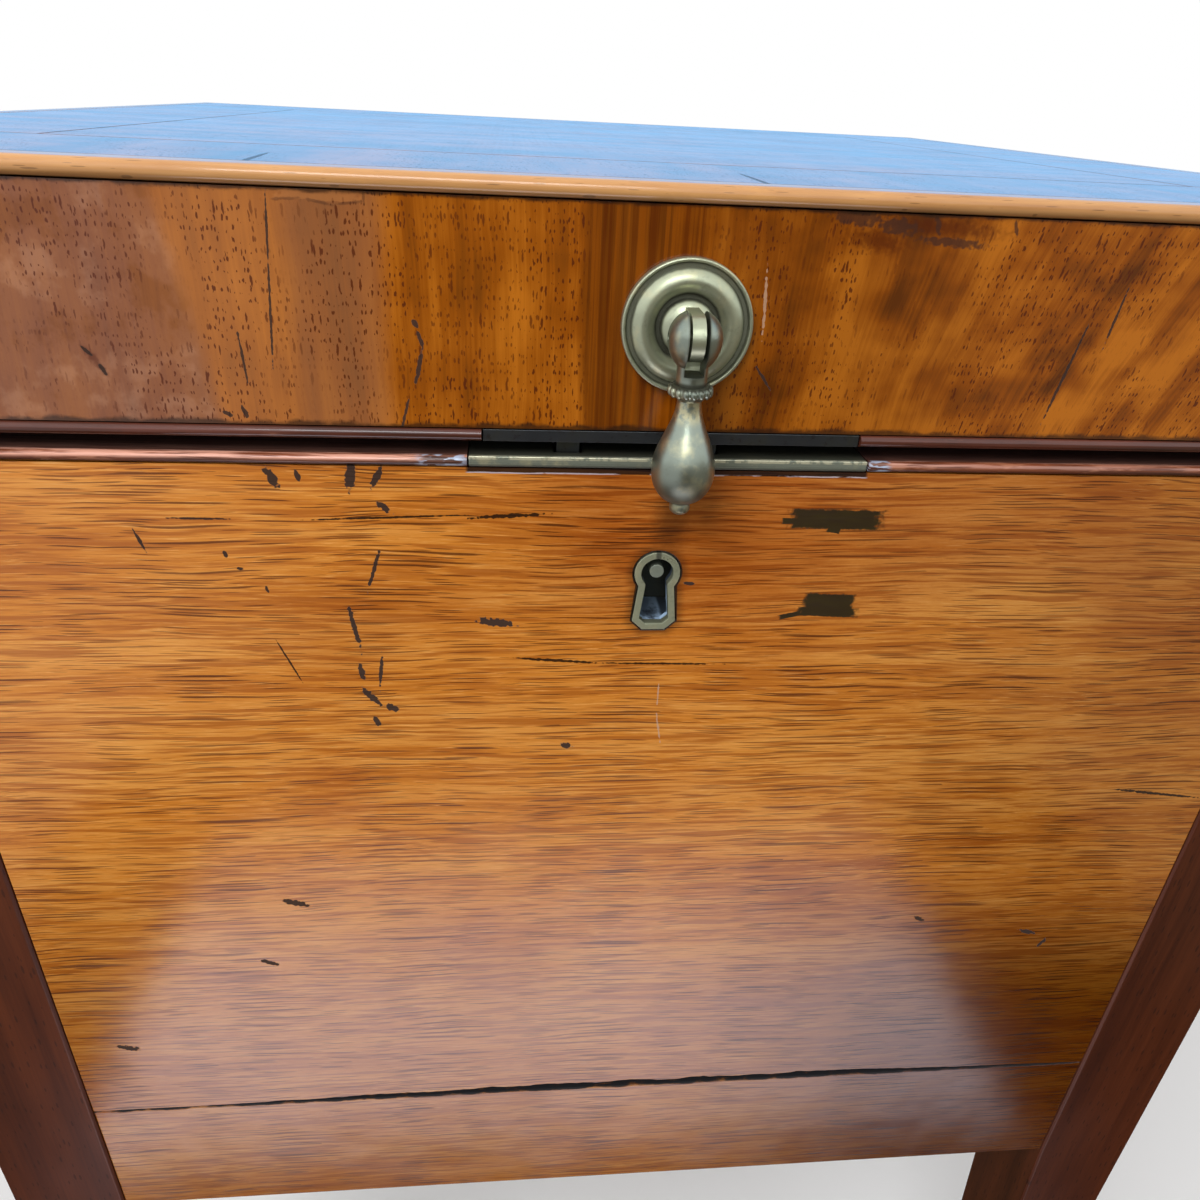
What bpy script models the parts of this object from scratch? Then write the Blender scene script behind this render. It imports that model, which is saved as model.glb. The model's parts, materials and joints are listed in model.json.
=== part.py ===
"""Cellarette on stand: a bottle box with a deep hinged lid, on four posts that taper into legs.

Metres, +Z up, front towards -Y. The origin is on the floor under the middle of the whole object.
Run with: blender --background --python part.py
"""

import math

import bmesh
import bpy
from mathutils import Matrix, Vector

# Clearances
FIT = 0.0003  # gap between pieces that touch
PIN_FIT = 0.0001  # radial play of a pin in its bore
WELD = 0.00001  # points this close are one point
OVERSHOOT = 0.004  # how far a cutter runs past the face it opens

# Posts, panels and rails of the stand
WIDTH = 0.440  # over the posts, left to right
DEPTH = 0.440  # over the posts, front to back
POST = 0.038  # square section of a post
FOOT = 0.024  # square section of a leg at the floor
ARRIS = 0.0008  # worn edge of a post
LEG_DROP = 0.320  # floor to the underside of the rails
RAIL_HEIGHT = 0.057
PANEL_HEIGHT = 0.2393  # joint above the rail to the top of the posts
PANEL_THICK = 0.018
POST_PROUD = 0.0006  # how far a post stands out from its panels
TONGUE_THICK = 0.006
TONGUE_LENGTH = 0.008
RIM_BEAD_HEIGHT = 0.0026
RIM_BEAD_PROUD = 0.0004

# Bottom of the box and its bottle dividers
BOTTOM_THICK = 0.012
BOTTOM_DROP = 0.005  # top of the bottom board below the panel joint
CLEAT = 0.015  # square section of a cleat
DIVIDERS = 2  # each way
DIVIDER_THICK = 0.008
DIVIDER_HEIGHT = 0.150

# Lid
LID_GAP = 0.0039  # open joint between rim and lid
LID_WALL = 0.016
LID_SIDE_HEIGHT = 0.0493
LID_BEAD_HEIGHT = 0.0028
LID_BEAD_PROUD = 0.0010
TOP_BEAD_HEIGHT = 0.0039
TOP_BEAD_PROUD = 0.0015
TOP_BEAD_WIDTH = 0.008
LID_BOARD = 0.012  # thickness of the top board
VENEER = 0.0012
BAND_WIDTH = 0.064  # lid edge to the inner line of the crossbanding

# Butt hinges
HINGE_INSET = 0.100  # side of the case to the middle of a hinge
HINGE_LENGTH = 0.050
LEAF_WIDTH = 0.019  # pin centre to the leaf's far edge
KNUCKLE_RADIUS = 0.003
HINGE_PIN_RADIUS = 0.0013

# Box lock in the front panel
LOCK_OFFSET = 0.0014  # middle of the lock to the right of the case's middle
LOCK_LENGTH = 0.097
LOCK_PLATE_HEIGHT = 0.054
LOCK_BODY_LENGTH = 0.087
LOCK_BODY_HEIGHT = 0.048  # rim to the underside of the lock's box
LOCK_SHEET = 0.0012
LOCK_FRONT_WOOD = 0.0022  # panel left in front of the lock
KEYHOLE_OFFSET = 0.0002  # keyhole to the right of the case's middle
KEYHOLE_DROP = 0.0309  # rim to the middle of the keyhole's head
KEY_PIN_RADIUS = 0.00185
KEY_PIN_RECESS = 0.001  # pin's end behind the panel's face

# Thread escutcheon round the keyhole
ESCUTCHEON_HEAD_RADIUS = 0.0059
ESCUTCHEON_NECK_WIDTH = 0.0092
ESCUTCHEON_FOOT_WIDTH = 0.0114
ESCUTCHEON_FOOT_DROP = 0.0139  # middle of the head to the widest part
ESCUTCHEON_TIP_WIDTH = 0.0060
ESCUTCHEON_TIP_DROP = 0.0165
ESCUTCHEON_RIM = 0.0017
ESCUTCHEON_PROUD = 0.0003

# Link plate under the lid, and the bolt that passes through its links
LINK_PLATE_LENGTH = 0.090
LINK_PLATE_DEPTH = 0.014
LINK_MIDDLES = (-0.0234, 0.0100)  # from the case's middle
LINK_WIDTH = 0.0056
LINK_DEPTH = 0.0070
LINK_LENGTH = 0.0160  # below the link plate
LINK_SETBACK = 0.0042  # panel's face to the front of a link
LINK_PLAY = 0.0006  # round a link in its slot
EYE_WIDTH = 0.0046
EYE_HEIGHT = 0.0052
EYE_FOOT = 0.0018  # metal under the eye
BOLT_PLAY = 0.0003  # above, below and beside a finger in its eye
BOLT_BAR_HEIGHT = 0.007
BOLT_BAR_DROP = 0.0025  # top of the bar below the links
BOLT_BAR_TAIL = 0.020  # bar to the right of the last link
FINGER_LENGTH = 0.0076
FINGER_CLEAR = 0.0006  # from a link, with the bolt drawn back
HOOK_WIDTH = 0.004
TALON_WIDTH = 0.006
TALON_DEPTH = 0.0025
SPRING_THICK = 0.0006
SPRING_LENGTH = 0.018
SPRING_RISE = 0.005
SPRING_STEPS = 8

# Drop pull
PULL_OFFSET = 0.0018  # pull to the right of the lid's middle
PULL_HEIGHT = 0.0245  # above the lower edge of the lid's front
ROSETTE_RADIUS = 0.01475
ROSETTE_RIM_HEIGHT = 0.0020
ROSETTE_GROOVE = 0.0009  # depth of the groove inside the rim
ROSETTE_RING_RADIUS = 0.0125  # outside of the domed ring
ROSETTE_RING_HEIGHT = 0.0039
ROSETTE_BOSS_RADIUS = 0.0062
ROSETTE_HEIGHT = 0.0047  # at the middle of the boss
ROSETTE_LIP = 0.0005  # width of the rim's rounded lip
ROSETTE_STEP = 0.0003  # small step outside the ring
SHANK_RADIUS = 0.0020
TONGUE_WIDTH = 0.0029  # pull's tongue, between the fork's cheeks
TONGUE_RADIUS = 0.0050
NUT_SIZE = 0.0090
NUT_THICK = 0.0035
SHANK_SPARE = 0.0015  # shank beyond the nut
SHANK_ROOT = 0.001  # shank inside the tongue
PULL_PIN_RADIUS = 0.0009
HEAD_RADIUS = 0.0059  # ball of the pendant
HEAD_CLEAR = 0.0008  # ball to the rosette
HEAD_STRETCH = 1.22  # lower half of the ball, as a share of its radius
FORK_SLOT_WIDTH = 0.0043
FORK_SLOT_DROP = 0.0078  # below the pin
NECK_RADIUS = 0.0034
COLLAR_RADIUS = 0.0049
COLLAR_TOP = 0.0099  # below the pin
COLLAR_HEIGHT = 0.0027
DROP_NECK_RADIUS = 0.0027
BULB_RADIUS = 0.00725
BULB_DROP = 0.0294  # pin to the widest part
DROP_NECK_DROP = 0.0134  # pin to the narrowest part under the collar
SLENDER = 0.35  # how long the drop stays slender, as a share of its fall
FULL = 0.64  # where the drop turns towards its widest
FINIAL_NECK_RADIUS = 0.0019
FINIAL_NECK_DROP = 0.0371
FINIAL_RADIUS = 0.0024
FINIAL_HEIGHT = 0.0033

# Levels above the floor, each from the one below it
RAIL_BASE = LEG_DROP
PANEL_BASE = RAIL_BASE + RAIL_HEIGHT + FIT
POST_TOP = PANEL_BASE + PANEL_HEIGHT
RIM_BEAD_BASE = POST_TOP + FIT
RIM_TOP = RIM_BEAD_BASE + RIM_BEAD_HEIGHT
LID_BASE = RIM_TOP + LID_GAP
LID_SIDE_BASE = LID_BASE + LID_BEAD_HEIGHT + FIT
LID_SIDE_TOP = LID_SIDE_BASE + LID_SIDE_HEIGHT
TOP_BEAD_BASE = LID_SIDE_TOP + FIT
LID_TOP = TOP_BEAD_BASE + TOP_BEAD_HEIGHT
LID_BOARD_BASE = LID_TOP - VENEER - FIT - LID_BOARD
BOTTOM_TOP = PANEL_BASE - BOTTOM_DROP
BOTTOM_BASE = BOTTOM_TOP - BOTTOM_THICK

# Plan distances that several pieces share
PANEL_INSET = POST_PROUD + PANEL_THICK  # outside of a post to the inside of a panel
TOP_BEAD_INSET = TOP_BEAD_WIDTH - TOP_BEAD_PROUD  # lid's face to the bead's inner edge
PULL_REACH = ROSETTE_HEIGHT + FIT + HEAD_CLEAR + HEAD_RADIUS  # lid's face to the pull's pin
HINGE_SETBACK = KNUCKLE_RADIUS + FIT  # back of the case to the hinge pin
LEAF_THICK = (LID_GAP - 3 * FIT) / 2
FRONT_REACH = DEPTH / 2 + PULL_REACH + BULB_RADIUS
BACK_REACH = DEPTH / 2 + max(HINGE_SETBACK + KNUCKLE_RADIUS, TOP_BEAD_PROUD)
PLAN_SHIFT = (FRONT_REACH - BACK_REACH) / 2  # puts the origin under the middle

# Round pieces
ROSETTE_STEPS = 40
PENDANT_STEPS = 32
ARC_STEPS = 8
BORE_STEPS = 24
ROD_STEPS = 24
FINIAL_STEPS = 4
FRAME_MARK = 0.02  # drawn size of an empty
CREASE = math.radians(35)  # edges that meet at more than this stay sharp

# Finish: base colour, roughness, metallic
FINISHES = {
    "panel mahogany": ((0.33, 0.12, 0.025), 0.25, 0.0),
    "figured mahogany": ((0.26, 0.075, 0.016), 0.25, 0.0),
    "dark mahogany": ((0.10, 0.024, 0.012), 0.30, 0.0),
    "honey edge": ((0.45, 0.17, 0.045), 0.30, 0.0),
    "red edge": ((0.16, 0.045, 0.022), 0.30, 0.0),
    "pine": ((0.36, 0.21, 0.10), 0.65, 0.0),
    "old brass": ((0.31, 0.28, 0.18), 0.35, 1.0),
    "dark brass": ((0.09, 0.085, 0.07), 0.45, 1.0),
    "iron": ((0.12, 0.12, 0.13), 0.45, 1.0),
}

# Each side's turn about Z, its half length and its distance from the middle
SIDES = {
    "front": (0.0, WIDTH / 2, DEPTH / 2),
    "right": (math.pi / 2, DEPTH / 2, WIDTH / 2),
    "back": (math.pi, WIDTH / 2, DEPTH / 2),
    "left": (-math.pi / 2, DEPTH / 2, WIDTH / 2),
}

# How an outline's plane lies in space; the third direction is the extrusion
PLANES = {
    "XY": Matrix.Identity(4),
    "XZ": Matrix.Rotation(math.pi / 2, 4, "X"),
    "YZ": Matrix.Rotation(math.pi / 2, 4, "Z") @ Matrix.Rotation(math.pi / 2, 4, "X"),
}


def clear_scene():
    for obj in list(bpy.data.objects):
        bpy.data.objects.remove(obj, do_unlink=True)


def collection(name):
    """The collection of this name, made on first use."""
    if name not in bpy.data.collections:
        bpy.context.scene.collection.children.link(bpy.data.collections.new(name))
    return bpy.data.collections[name]


def frame(name, parent=None, at=(0, 0, 0)):
    """An empty that carries pieces, at a place in its parent's frame."""
    empty = bpy.data.objects.new(name, None)
    empty.empty_display_size = FRAME_MARK
    collection("cellarette_on_stand").objects.link(empty)
    empty.parent = parent
    empty.location = at
    return empty


def part(name, mesh, finish, parent, at=(0, 0, 0), turn=(0, 0, 0)):
    """A named sub-part with its own material, placed in its parent's frame."""
    obj = bpy.data.objects.new(name, mesh)
    collection("cellarette_on_stand").objects.link(obj)
    obj.parent = parent
    obj.location = at
    obj.rotation_euler = turn
    colour, roughness, metallic = FINISHES[finish]
    material = bpy.data.materials.new(f"{name} {finish}")
    material.use_nodes = True
    shader = material.node_tree.nodes["Principled BSDF"]
    shader.inputs["Base Color"].default_value = (*colour, 1)
    shader.inputs["Roughness"].default_value = roughness
    shader.inputs["Metallic"].default_value = metallic
    mesh.materials.append(material)
    return obj


def boolean(obj, mesh, operation, at, parent):
    """Cuts or joins a helper shape, placed in the piece's own frame or in another's."""
    helper = bpy.data.objects.new(f"{obj.name}_{operation.lower()}", mesh)
    collection("cutters").objects.link(helper)
    helper.parent = parent or obj
    helper.location = at
    helper.hide_render = True
    helper.display_type = "WIRE"
    modifier = obj.modifiers.new(operation.title(), "BOOLEAN")
    modifier.operation = operation
    modifier.solver = "EXACT"
    modifier.object = helper


def cut(obj, mesh, at=(0, 0, 0), parent=None):
    boolean(obj, mesh, "DIFFERENCE", at, parent)


def join(obj, mesh, at=(0, 0, 0), parent=None):
    boolean(obj, mesh, "UNION", at, parent)


def bevel(obj, width, segments=1):
    modifier = obj.modifiers.new("Arris", "BEVEL")
    modifier.width = width
    modifier.segments = segments


def finished(bm, name):
    """A mesh from this bmesh, with its faces pointing out."""
    bmesh.ops.recalc_face_normals(bm, faces=bm.faces)
    mesh = bpy.data.meshes.new(name)
    bm.to_mesh(mesh)
    bm.free()
    return mesh


def smooth(mesh):
    """Smooth shading that keeps the sharp edges."""
    mesh.shade_smooth()
    mesh.set_sharp_from_angle(angle=CREASE)
    return mesh


def box(low, high):
    """A box between two corners."""
    low, high = Vector(low), Vector(high)
    bm = bmesh.new()
    bmesh.ops.create_cube(bm, size=1)
    bmesh.ops.scale(bm, vec=high - low, verts=bm.verts)
    bmesh.ops.translate(bm, vec=(low + high) / 2, verts=bm.verts)
    return finished(bm, "box")


def rod(radius, length, plane, steps=ROD_STEPS):
    """A cylinder about the origin, along the direction that this plane is extruded in."""
    bm = bmesh.new()
    bmesh.ops.create_cone(
        bm, cap_ends=True, segments=steps, radius1=radius, radius2=radius, depth=length
    )
    bmesh.ops.transform(bm, matrix=PLANES[plane], verts=bm.verts)
    return smooth(finished(bm, "rod"))


def prism(outlines, thickness, plane="XY"):
    """Flat outlines, the inner ones as holes, with a thickness about their own plane."""
    curve = bpy.data.curves.new("outline", "CURVE")
    curve.dimensions = "2D"
    curve.fill_mode = "BOTH"
    curve.extrude = thickness / 2
    for outline in outlines:
        spline = curve.splines.new("POLY")
        spline.points.add(len(outline) - 1)
        for point, (x, y) in zip(spline.points, outline):
            point.co = (x, y, 0, 1)
        spline.use_cyclic_u = True
    carrier = bpy.data.objects.new("outline", curve)
    bpy.context.scene.collection.objects.link(carrier)
    graph = bpy.context.evaluated_depsgraph_get()
    raw = bpy.data.meshes.new_from_object(carrier.evaluated_get(graph))
    bm = bmesh.new()
    bm.from_mesh(raw)
    bpy.data.objects.remove(carrier)
    bpy.data.curves.remove(curve)
    bpy.data.meshes.remove(raw)
    bmesh.ops.remove_doubles(bm, verts=bm.verts, dist=WELD)
    bmesh.ops.transform(bm, matrix=PLANES[plane], verts=bm.verts)
    return finished(bm, "prism")


def turned(name, profile, steps, closed, finish, parent, at=(0, 0, 0), turn=(0, 0, 0)):
    """A piece turned about its own Z from a profile of (radius, height), run from top to bottom."""
    mesh = bpy.data.meshes.new(name)
    edges = [(i, i + 1) for i in range(len(profile) - 1)]
    if closed:
        edges.append((len(profile) - 1, 0))
    mesh.from_pydata([(radius, 0, height) for radius, height in profile], edges, [])
    obj = part(name, mesh, finish, parent, at, turn)
    screw = obj.modifiers.new("Turning", "SCREW")
    screw.steps = steps
    screw.render_steps = steps
    screw.use_merge_vertices = True
    screw.merge_threshold = WELD
    screw.use_smooth_shade = True
    return obj


def arc(centre, radii, start, end, steps=ARC_STEPS):
    """Points of an elliptical arc, with its angles in degrees."""
    points = []
    for i in range(steps + 1):
        angle = math.radians(start + (end - start) * i / steps)
        points.append((centre[0] + radii[0] * math.cos(angle), centre[1] + radii[1] * math.sin(angle)))
    return points


def bezier(a, b, c, d, steps=ARC_STEPS):
    """Points of a cubic curve from a to d."""
    points = []
    for i in range(steps + 1):
        t = i / steps
        weights = ((1 - t) ** 3, 3 * t * (1 - t) ** 2, 3 * t * t * (1 - t), t**3)
        points.append(tuple(sum(w * p[k] for w, p in zip(weights, (a, b, c, d))) for k in (0, 1)))
    return points


def offset(outline, distance):
    """An outline that runs anticlockwise, moved outwards by a distance."""
    points = [Vector(point) for point in outline]
    moved = []
    for i, point in enumerate(points):
        before = (point - points[i - 1]).normalized()
        after = (points[(i + 1) % len(points)] - point).normalized()
        out_before = Vector((before.y, -before.x))
        out_after = Vector((after.y, -after.x))
        mean = (out_before + out_after).normalized()
        moved.append(tuple(point + mean * distance / mean.dot(out_after)))
    return moved


def side_strip(name, profile, side, level, finish, parent, start=None, end=None):
    """A strip along one side of the plan, from a profile of (distance in from the face, height).

    Each end is a mitre at the corner, or square at the place given along the side.
    """
    turn, half_length, reach = SIDES[side]
    long = prism([profile], 2 * half_length + 2 * TOP_BEAD_WIDTH, "YZ")
    bm = bmesh.new()
    bm.from_mesh(long)
    bpy.data.meshes.remove(long)
    bmesh.ops.translate(bm, vec=(0, -reach, 0), verts=bm.verts)
    for sign, stop in ((-1, start), (1, end)):
        if stop is None:
            normal = Vector((sign, 1, 0)).normalized()
            point = Vector((sign * half_length, -reach, 0)) - normal * FIT / 2
        else:
            normal = Vector((sign, 0, 0))
            point = Vector((stop, 0, 0))
        everything = bm.verts[:] + bm.edges[:] + bm.faces[:]
        sliced = bmesh.ops.bisect_plane(
            bm, geom=everything, plane_co=point, plane_no=normal, clear_outer=True
        )
        rim = [piece for piece in sliced["geom_cut"] if isinstance(piece, bmesh.types.BMEdge)]
        bmesh.ops.edgenet_fill(bm, edges=rim)
    mesh = smooth(finished(bm, name))
    return part(name, mesh, finish, parent, (0, 0, level), (0, 0, turn))


def nosed_profile(height, proud, width):
    """A flat strip whose outer edge is half round and stands proud of the face."""
    radius = height / 2
    nose = arc((radius - proud, radius), (radius, radius), 90, 270)
    return [(width - proud, 0), (width - proud, height)] + nose


def make_legs(case):
    """Four posts, each in one piece with its leg, which tapers on its two inner faces."""
    corners = (
        ("leg_front_left", -1, -1, 0.0),
        ("leg_front_right", 1, -1, math.pi / 2),
        ("leg_back_right", 1, 1, math.pi),
        ("leg_back_left", -1, 1, -math.pi / 2),
    )
    groove = TONGUE_THICK / 2 + FIT
    middle = POST_PROUD + PANEL_THICK / 2
    for name, x, y, turn in corners:
        bm = bmesh.new()
        bmesh.ops.create_cube(bm, size=1)
        bmesh.ops.scale(bm, vec=(POST, POST, POST_TOP), verts=bm.verts)
        bmesh.ops.translate(bm, vec=(POST / 2, POST / 2, POST_TOP / 2), verts=bm.verts)
        everything = bm.verts[:] + bm.edges[:] + bm.faces[:]
        bmesh.ops.bisect_plane(bm, geom=everything, plane_co=(0, 0, RAIL_BASE), plane_no=(0, 0, 1))
        for vert in bm.verts:
            if vert.co.z < RAIL_BASE / 2:
                vert.co.x = min(vert.co.x, FOOT)
                vert.co.y = min(vert.co.y, FOOT)
        place = (x * WIDTH / 2, y * DEPTH / 2, 0)
        leg = part(name, finished(bm, name), "dark mahogany", case, place, (0, 0, turn))
        bevel(leg, ARRIS)
        low = (POST - TONGUE_LENGTH - FIT, middle - groove, RAIL_BASE - FIT)
        high = (POST + OVERSHOOT, middle + groove, POST_TOP + OVERSHOOT)
        cut(leg, box(low, high))
        cut(leg, box((low[1], low[0], low[2]), (high[1], high[0], high[2])))


def make_board(name, side, base, height, finish, case):
    """A panel or rail between two posts, with a tongue along each end."""
    turn, half_length, reach = SIDES[side]
    half = half_length - POST - FIT
    outer = -reach + POST_PROUD
    inner = outer + PANEL_THICK
    low = (outer + inner - TONGUE_THICK) / 2
    tip = half + FIT + TONGUE_LENGTH
    mesh = box((-half, outer, 0), (half, inner, height))
    board = part(name, mesh, finish, case, (0, 0, base), (0, 0, turn))
    join(board, box((-tip, low, 0), (tip, low + TONGUE_THICK, height)))
    return board


def make_case(case):
    """Panels, rails, bottom board with its cleats, and the beaded rim."""
    for side in SIDES:
        shown = "panel mahogany" if side != "back" else "pine"
        make_board(f"{side}_rail", side, RAIL_BASE, RAIL_HEIGHT, shown, case)
    for side in ("left", "right"):
        make_board(f"{side}_panel", side, PANEL_BASE, PANEL_HEIGHT, "panel mahogany", case)
    make_board("back_panel", "back", PANEL_BASE, RIM_TOP - PANEL_BASE, "pine", case)
    front = make_board("front_panel", "front", PANEL_BASE, PANEL_HEIGHT, "panel mahogany", case)

    x = WIDTH / 2 - PANEL_INSET - FIT
    y = DEPTH / 2 - PANEL_INSET - FIT
    notch_x = WIDTH / 2 - POST - FIT
    notch_y = DEPTH / 2 - POST - FIT
    quarter = [(x, notch_y), (notch_x, notch_y), (notch_x, y)]
    top = quarter + [(-px, py) for px, py in reversed(quarter)]
    outline = top + [(px, -py) for px, py in reversed(top)]
    board_at = (0, 0, BOTTOM_BASE + BOTTOM_THICK / 2)
    part("bottom_board", prism([outline], BOTTOM_THICK), "pine", case, board_at)
    for side, sign in (("left", -1), ("right", 1)):
        cleat = box((-CLEAT / 2, -notch_y, -CLEAT), (CLEAT / 2, notch_y, 0))
        place = (sign * (x - CLEAT / 2), 0, BOTTOM_BASE - FIT)
        part(f"bottom_cleat_{side}", cleat, "pine", case, place)

    profile = nosed_profile(RIM_BEAD_HEIGHT, RIM_BEAD_PROUD, PANEL_INSET + RIM_BEAD_PROUD)
    lock_left = LOCK_OFFSET - LOCK_LENGTH / 2 - FIT
    lock_right = LOCK_OFFSET + LOCK_LENGTH / 2 + FIT
    rims = (
        ("rim_bead_front_left", "front", None, lock_left),
        ("rim_bead_front_right", "front", lock_right, None),
        ("rim_bead_right", "right", None, DEPTH / 2),
        ("rim_bead_left", "left", -DEPTH / 2, None),
    )
    for name, side, start, end in rims:
        side_strip(name, profile, side, RIM_BEAD_BASE, "red edge", case, start, end)
    return front


def make_dividers(case):
    """Thin boards that halve over each other and part the box into bottle cells."""
    base = BOTTOM_TOP + FIT
    slot = DIVIDER_THICK / 2 + FIT
    middle = DIVIDER_HEIGHT / 2
    spans = {"X": WIDTH - 2 * PANEL_INSET, "Y": DEPTH - 2 * PANEL_INSET}
    places = {}
    for way, span in spans.items():
        cell = (span - DIVIDERS * DIVIDER_THICK) / (DIVIDERS + 1)
        pitch = cell + DIVIDER_THICK
        places[way] = [(i - (DIVIDERS - 1) / 2) * pitch for i in range(DIVIDERS)]
    for way, across in (("X", "Y"), ("Y", "X")):
        half = spans[way] / 2 - FIT
        edge = []
        for place in places[way]:
            edge += [(place - slot, 0), (place - slot, middle + FIT / 2)]
            edge += [(place + slot, middle + FIT / 2), (place + slot, 0)]
        outline = [(-half, 0)] + edge + [(half, 0), (half, DIVIDER_HEIGHT), (-half, DIVIDER_HEIGHT)]
        if way == "X":
            outline = [(x, DIVIDER_HEIGHT - z) for x, z in reversed(outline)]
        for i, place in enumerate(places[across]):
            mesh = prism([outline], DIVIDER_THICK, "XZ" if way == "X" else "YZ")
            at = (0, place, base) if way == "X" else (place, 0, base)
            part(f"divider_along_{way.lower()}_{i + 1}", mesh, "pine", case, at)


def keyhole_outline():
    """The escutcheon's outer line about the middle of its head, anticlockwise."""
    radius = ESCUTCHEON_HEAD_RADIUS
    neck = math.degrees(math.acos(ESCUTCHEON_NECK_WIDTH / 2 / radius))
    head = arc((0, 0), (radius, radius), -neck, 180 + neck, 2 * ARC_STEPS)
    foot = [
        (-ESCUTCHEON_FOOT_WIDTH / 2, -ESCUTCHEON_FOOT_DROP),
        (-ESCUTCHEON_TIP_WIDTH / 2, -ESCUTCHEON_TIP_DROP),
        (ESCUTCHEON_TIP_WIDTH / 2, -ESCUTCHEON_TIP_DROP),
        (ESCUTCHEON_FOOT_WIDTH / 2, -ESCUTCHEON_FOOT_DROP),
    ]
    return head + foot


def make_lock(case, front_panel):
    """A box lock let into the front panel from inside, with a sliding bolt and a keyhole.

    Its frame has its origin on the rim in the plane of the panel's face, with y running inwards.
    """
    lock = frame("lock", case, (0, -DEPTH / 2 + POST_PROUD, RIM_TOP))
    left = LOCK_OFFSET - LOCK_LENGTH / 2
    right = LOCK_OFFSET + LOCK_LENGTH / 2
    body_left = LOCK_OFFSET - LOCK_BODY_LENGTH / 2
    body_right = LOCK_OFFSET + LOCK_BODY_LENGTH / 2
    body_front = LOCK_FRONT_WOOD + FIT
    plate_front = PANEL_THICK - LOCK_SHEET
    inside_front = body_front + LOCK_SHEET
    link_middle = LINK_SETBACK + LINK_DEPTH / 2

    low = (body_left - FIT, LOCK_FRONT_WOOD, -LOCK_BODY_HEIGHT - FIT)
    high = (body_right + FIT, PANEL_THICK + OVERSHOOT, OVERSHOOT)
    cut(front_panel, box(low, high), parent=lock)
    low = (left - FIT, plate_front - FIT, -LOCK_PLATE_HEIGHT - FIT)
    high = (right + FIT, PANEL_THICK + OVERSHOOT, OVERSHOOT)
    cut(front_panel, box(low, high), parent=lock)
    keyhole_at = (KEYHOLE_OFFSET, LOCK_FRONT_WOOD / 2, -KEYHOLE_DROP)
    outline = keyhole_outline()
    through = LOCK_FRONT_WOOD + 2 * OVERSHOOT
    cut(front_panel, prism([offset(outline, FIT)], through, "XZ"), keyhole_at, lock)

    # Selvage on the rim and back plate inside, one bent sheet
    thick = RIM_BEAD_HEIGHT
    angle = [
        (-RIM_BEAD_PROUD, 0),
        (-RIM_BEAD_PROUD, -thick),
        (plate_front, -thick),
        (plate_front, -LOCK_PLATE_HEIGHT),
        (PANEL_THICK, -LOCK_PLATE_HEIGHT),
        (PANEL_THICK, 0),
    ]
    sheet = prism([angle], LOCK_LENGTH, "YZ")
    plate = part("lock_plate", sheet, "old brass", lock, (LOCK_OFFSET, 0, 0))
    for middle in LINK_MIDDLES:
        half = LINK_WIDTH / 2 + LINK_PLAY
        low = (middle - half, LINK_SETBACK - LINK_PLAY, -thick - OVERSHOOT)
        high = (middle + half, LINK_SETBACK + LINK_DEPTH + LINK_PLAY, OVERSHOOT)
        cut(plate, box(low, high), parent=lock)

    # Box of the lock, open towards its back plate and its selvage
    low = (body_left, body_front, -LOCK_BODY_HEIGHT)
    high = (body_right, plate_front - FIT, -thick - FIT)
    housing = part("lock_box", box(low, high), "iron", lock)
    low = (body_left + LOCK_SHEET, inside_front, -LOCK_BODY_HEIGHT + LOCK_SHEET)
    high = (body_right - LOCK_SHEET, plate_front + OVERSHOOT, OVERSHOOT)
    cut(housing, box(low, high))
    inner = offset(outline, -ESCUTCHEON_RIM)
    cut(housing, prism([inner], through, "XZ"), keyhole_at, lock)

    pin_length = plate_front - FIT - KEY_PIN_RECESS
    pin_at = (KEYHOLE_OFFSET, KEY_PIN_RECESS + pin_length / 2, -KEYHOLE_DROP)
    part("key_pin", rod(KEY_PIN_RADIUS, pin_length, "XZ"), "iron", lock, pin_at)

    depth = LOCK_FRONT_WOOD + ESCUTCHEON_PROUD
    ring_at = (KEYHOLE_OFFSET, (LOCK_FRONT_WOOD - ESCUTCHEON_PROUD) / 2, -KEYHOLE_DROP)
    part("keyhole_escutcheon", prism([outline, inner], depth, "XZ"), "old brass", lock, ring_at)

    make_bolt(lock, inside_front, link_middle, body_right - LOCK_SHEET)


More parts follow.
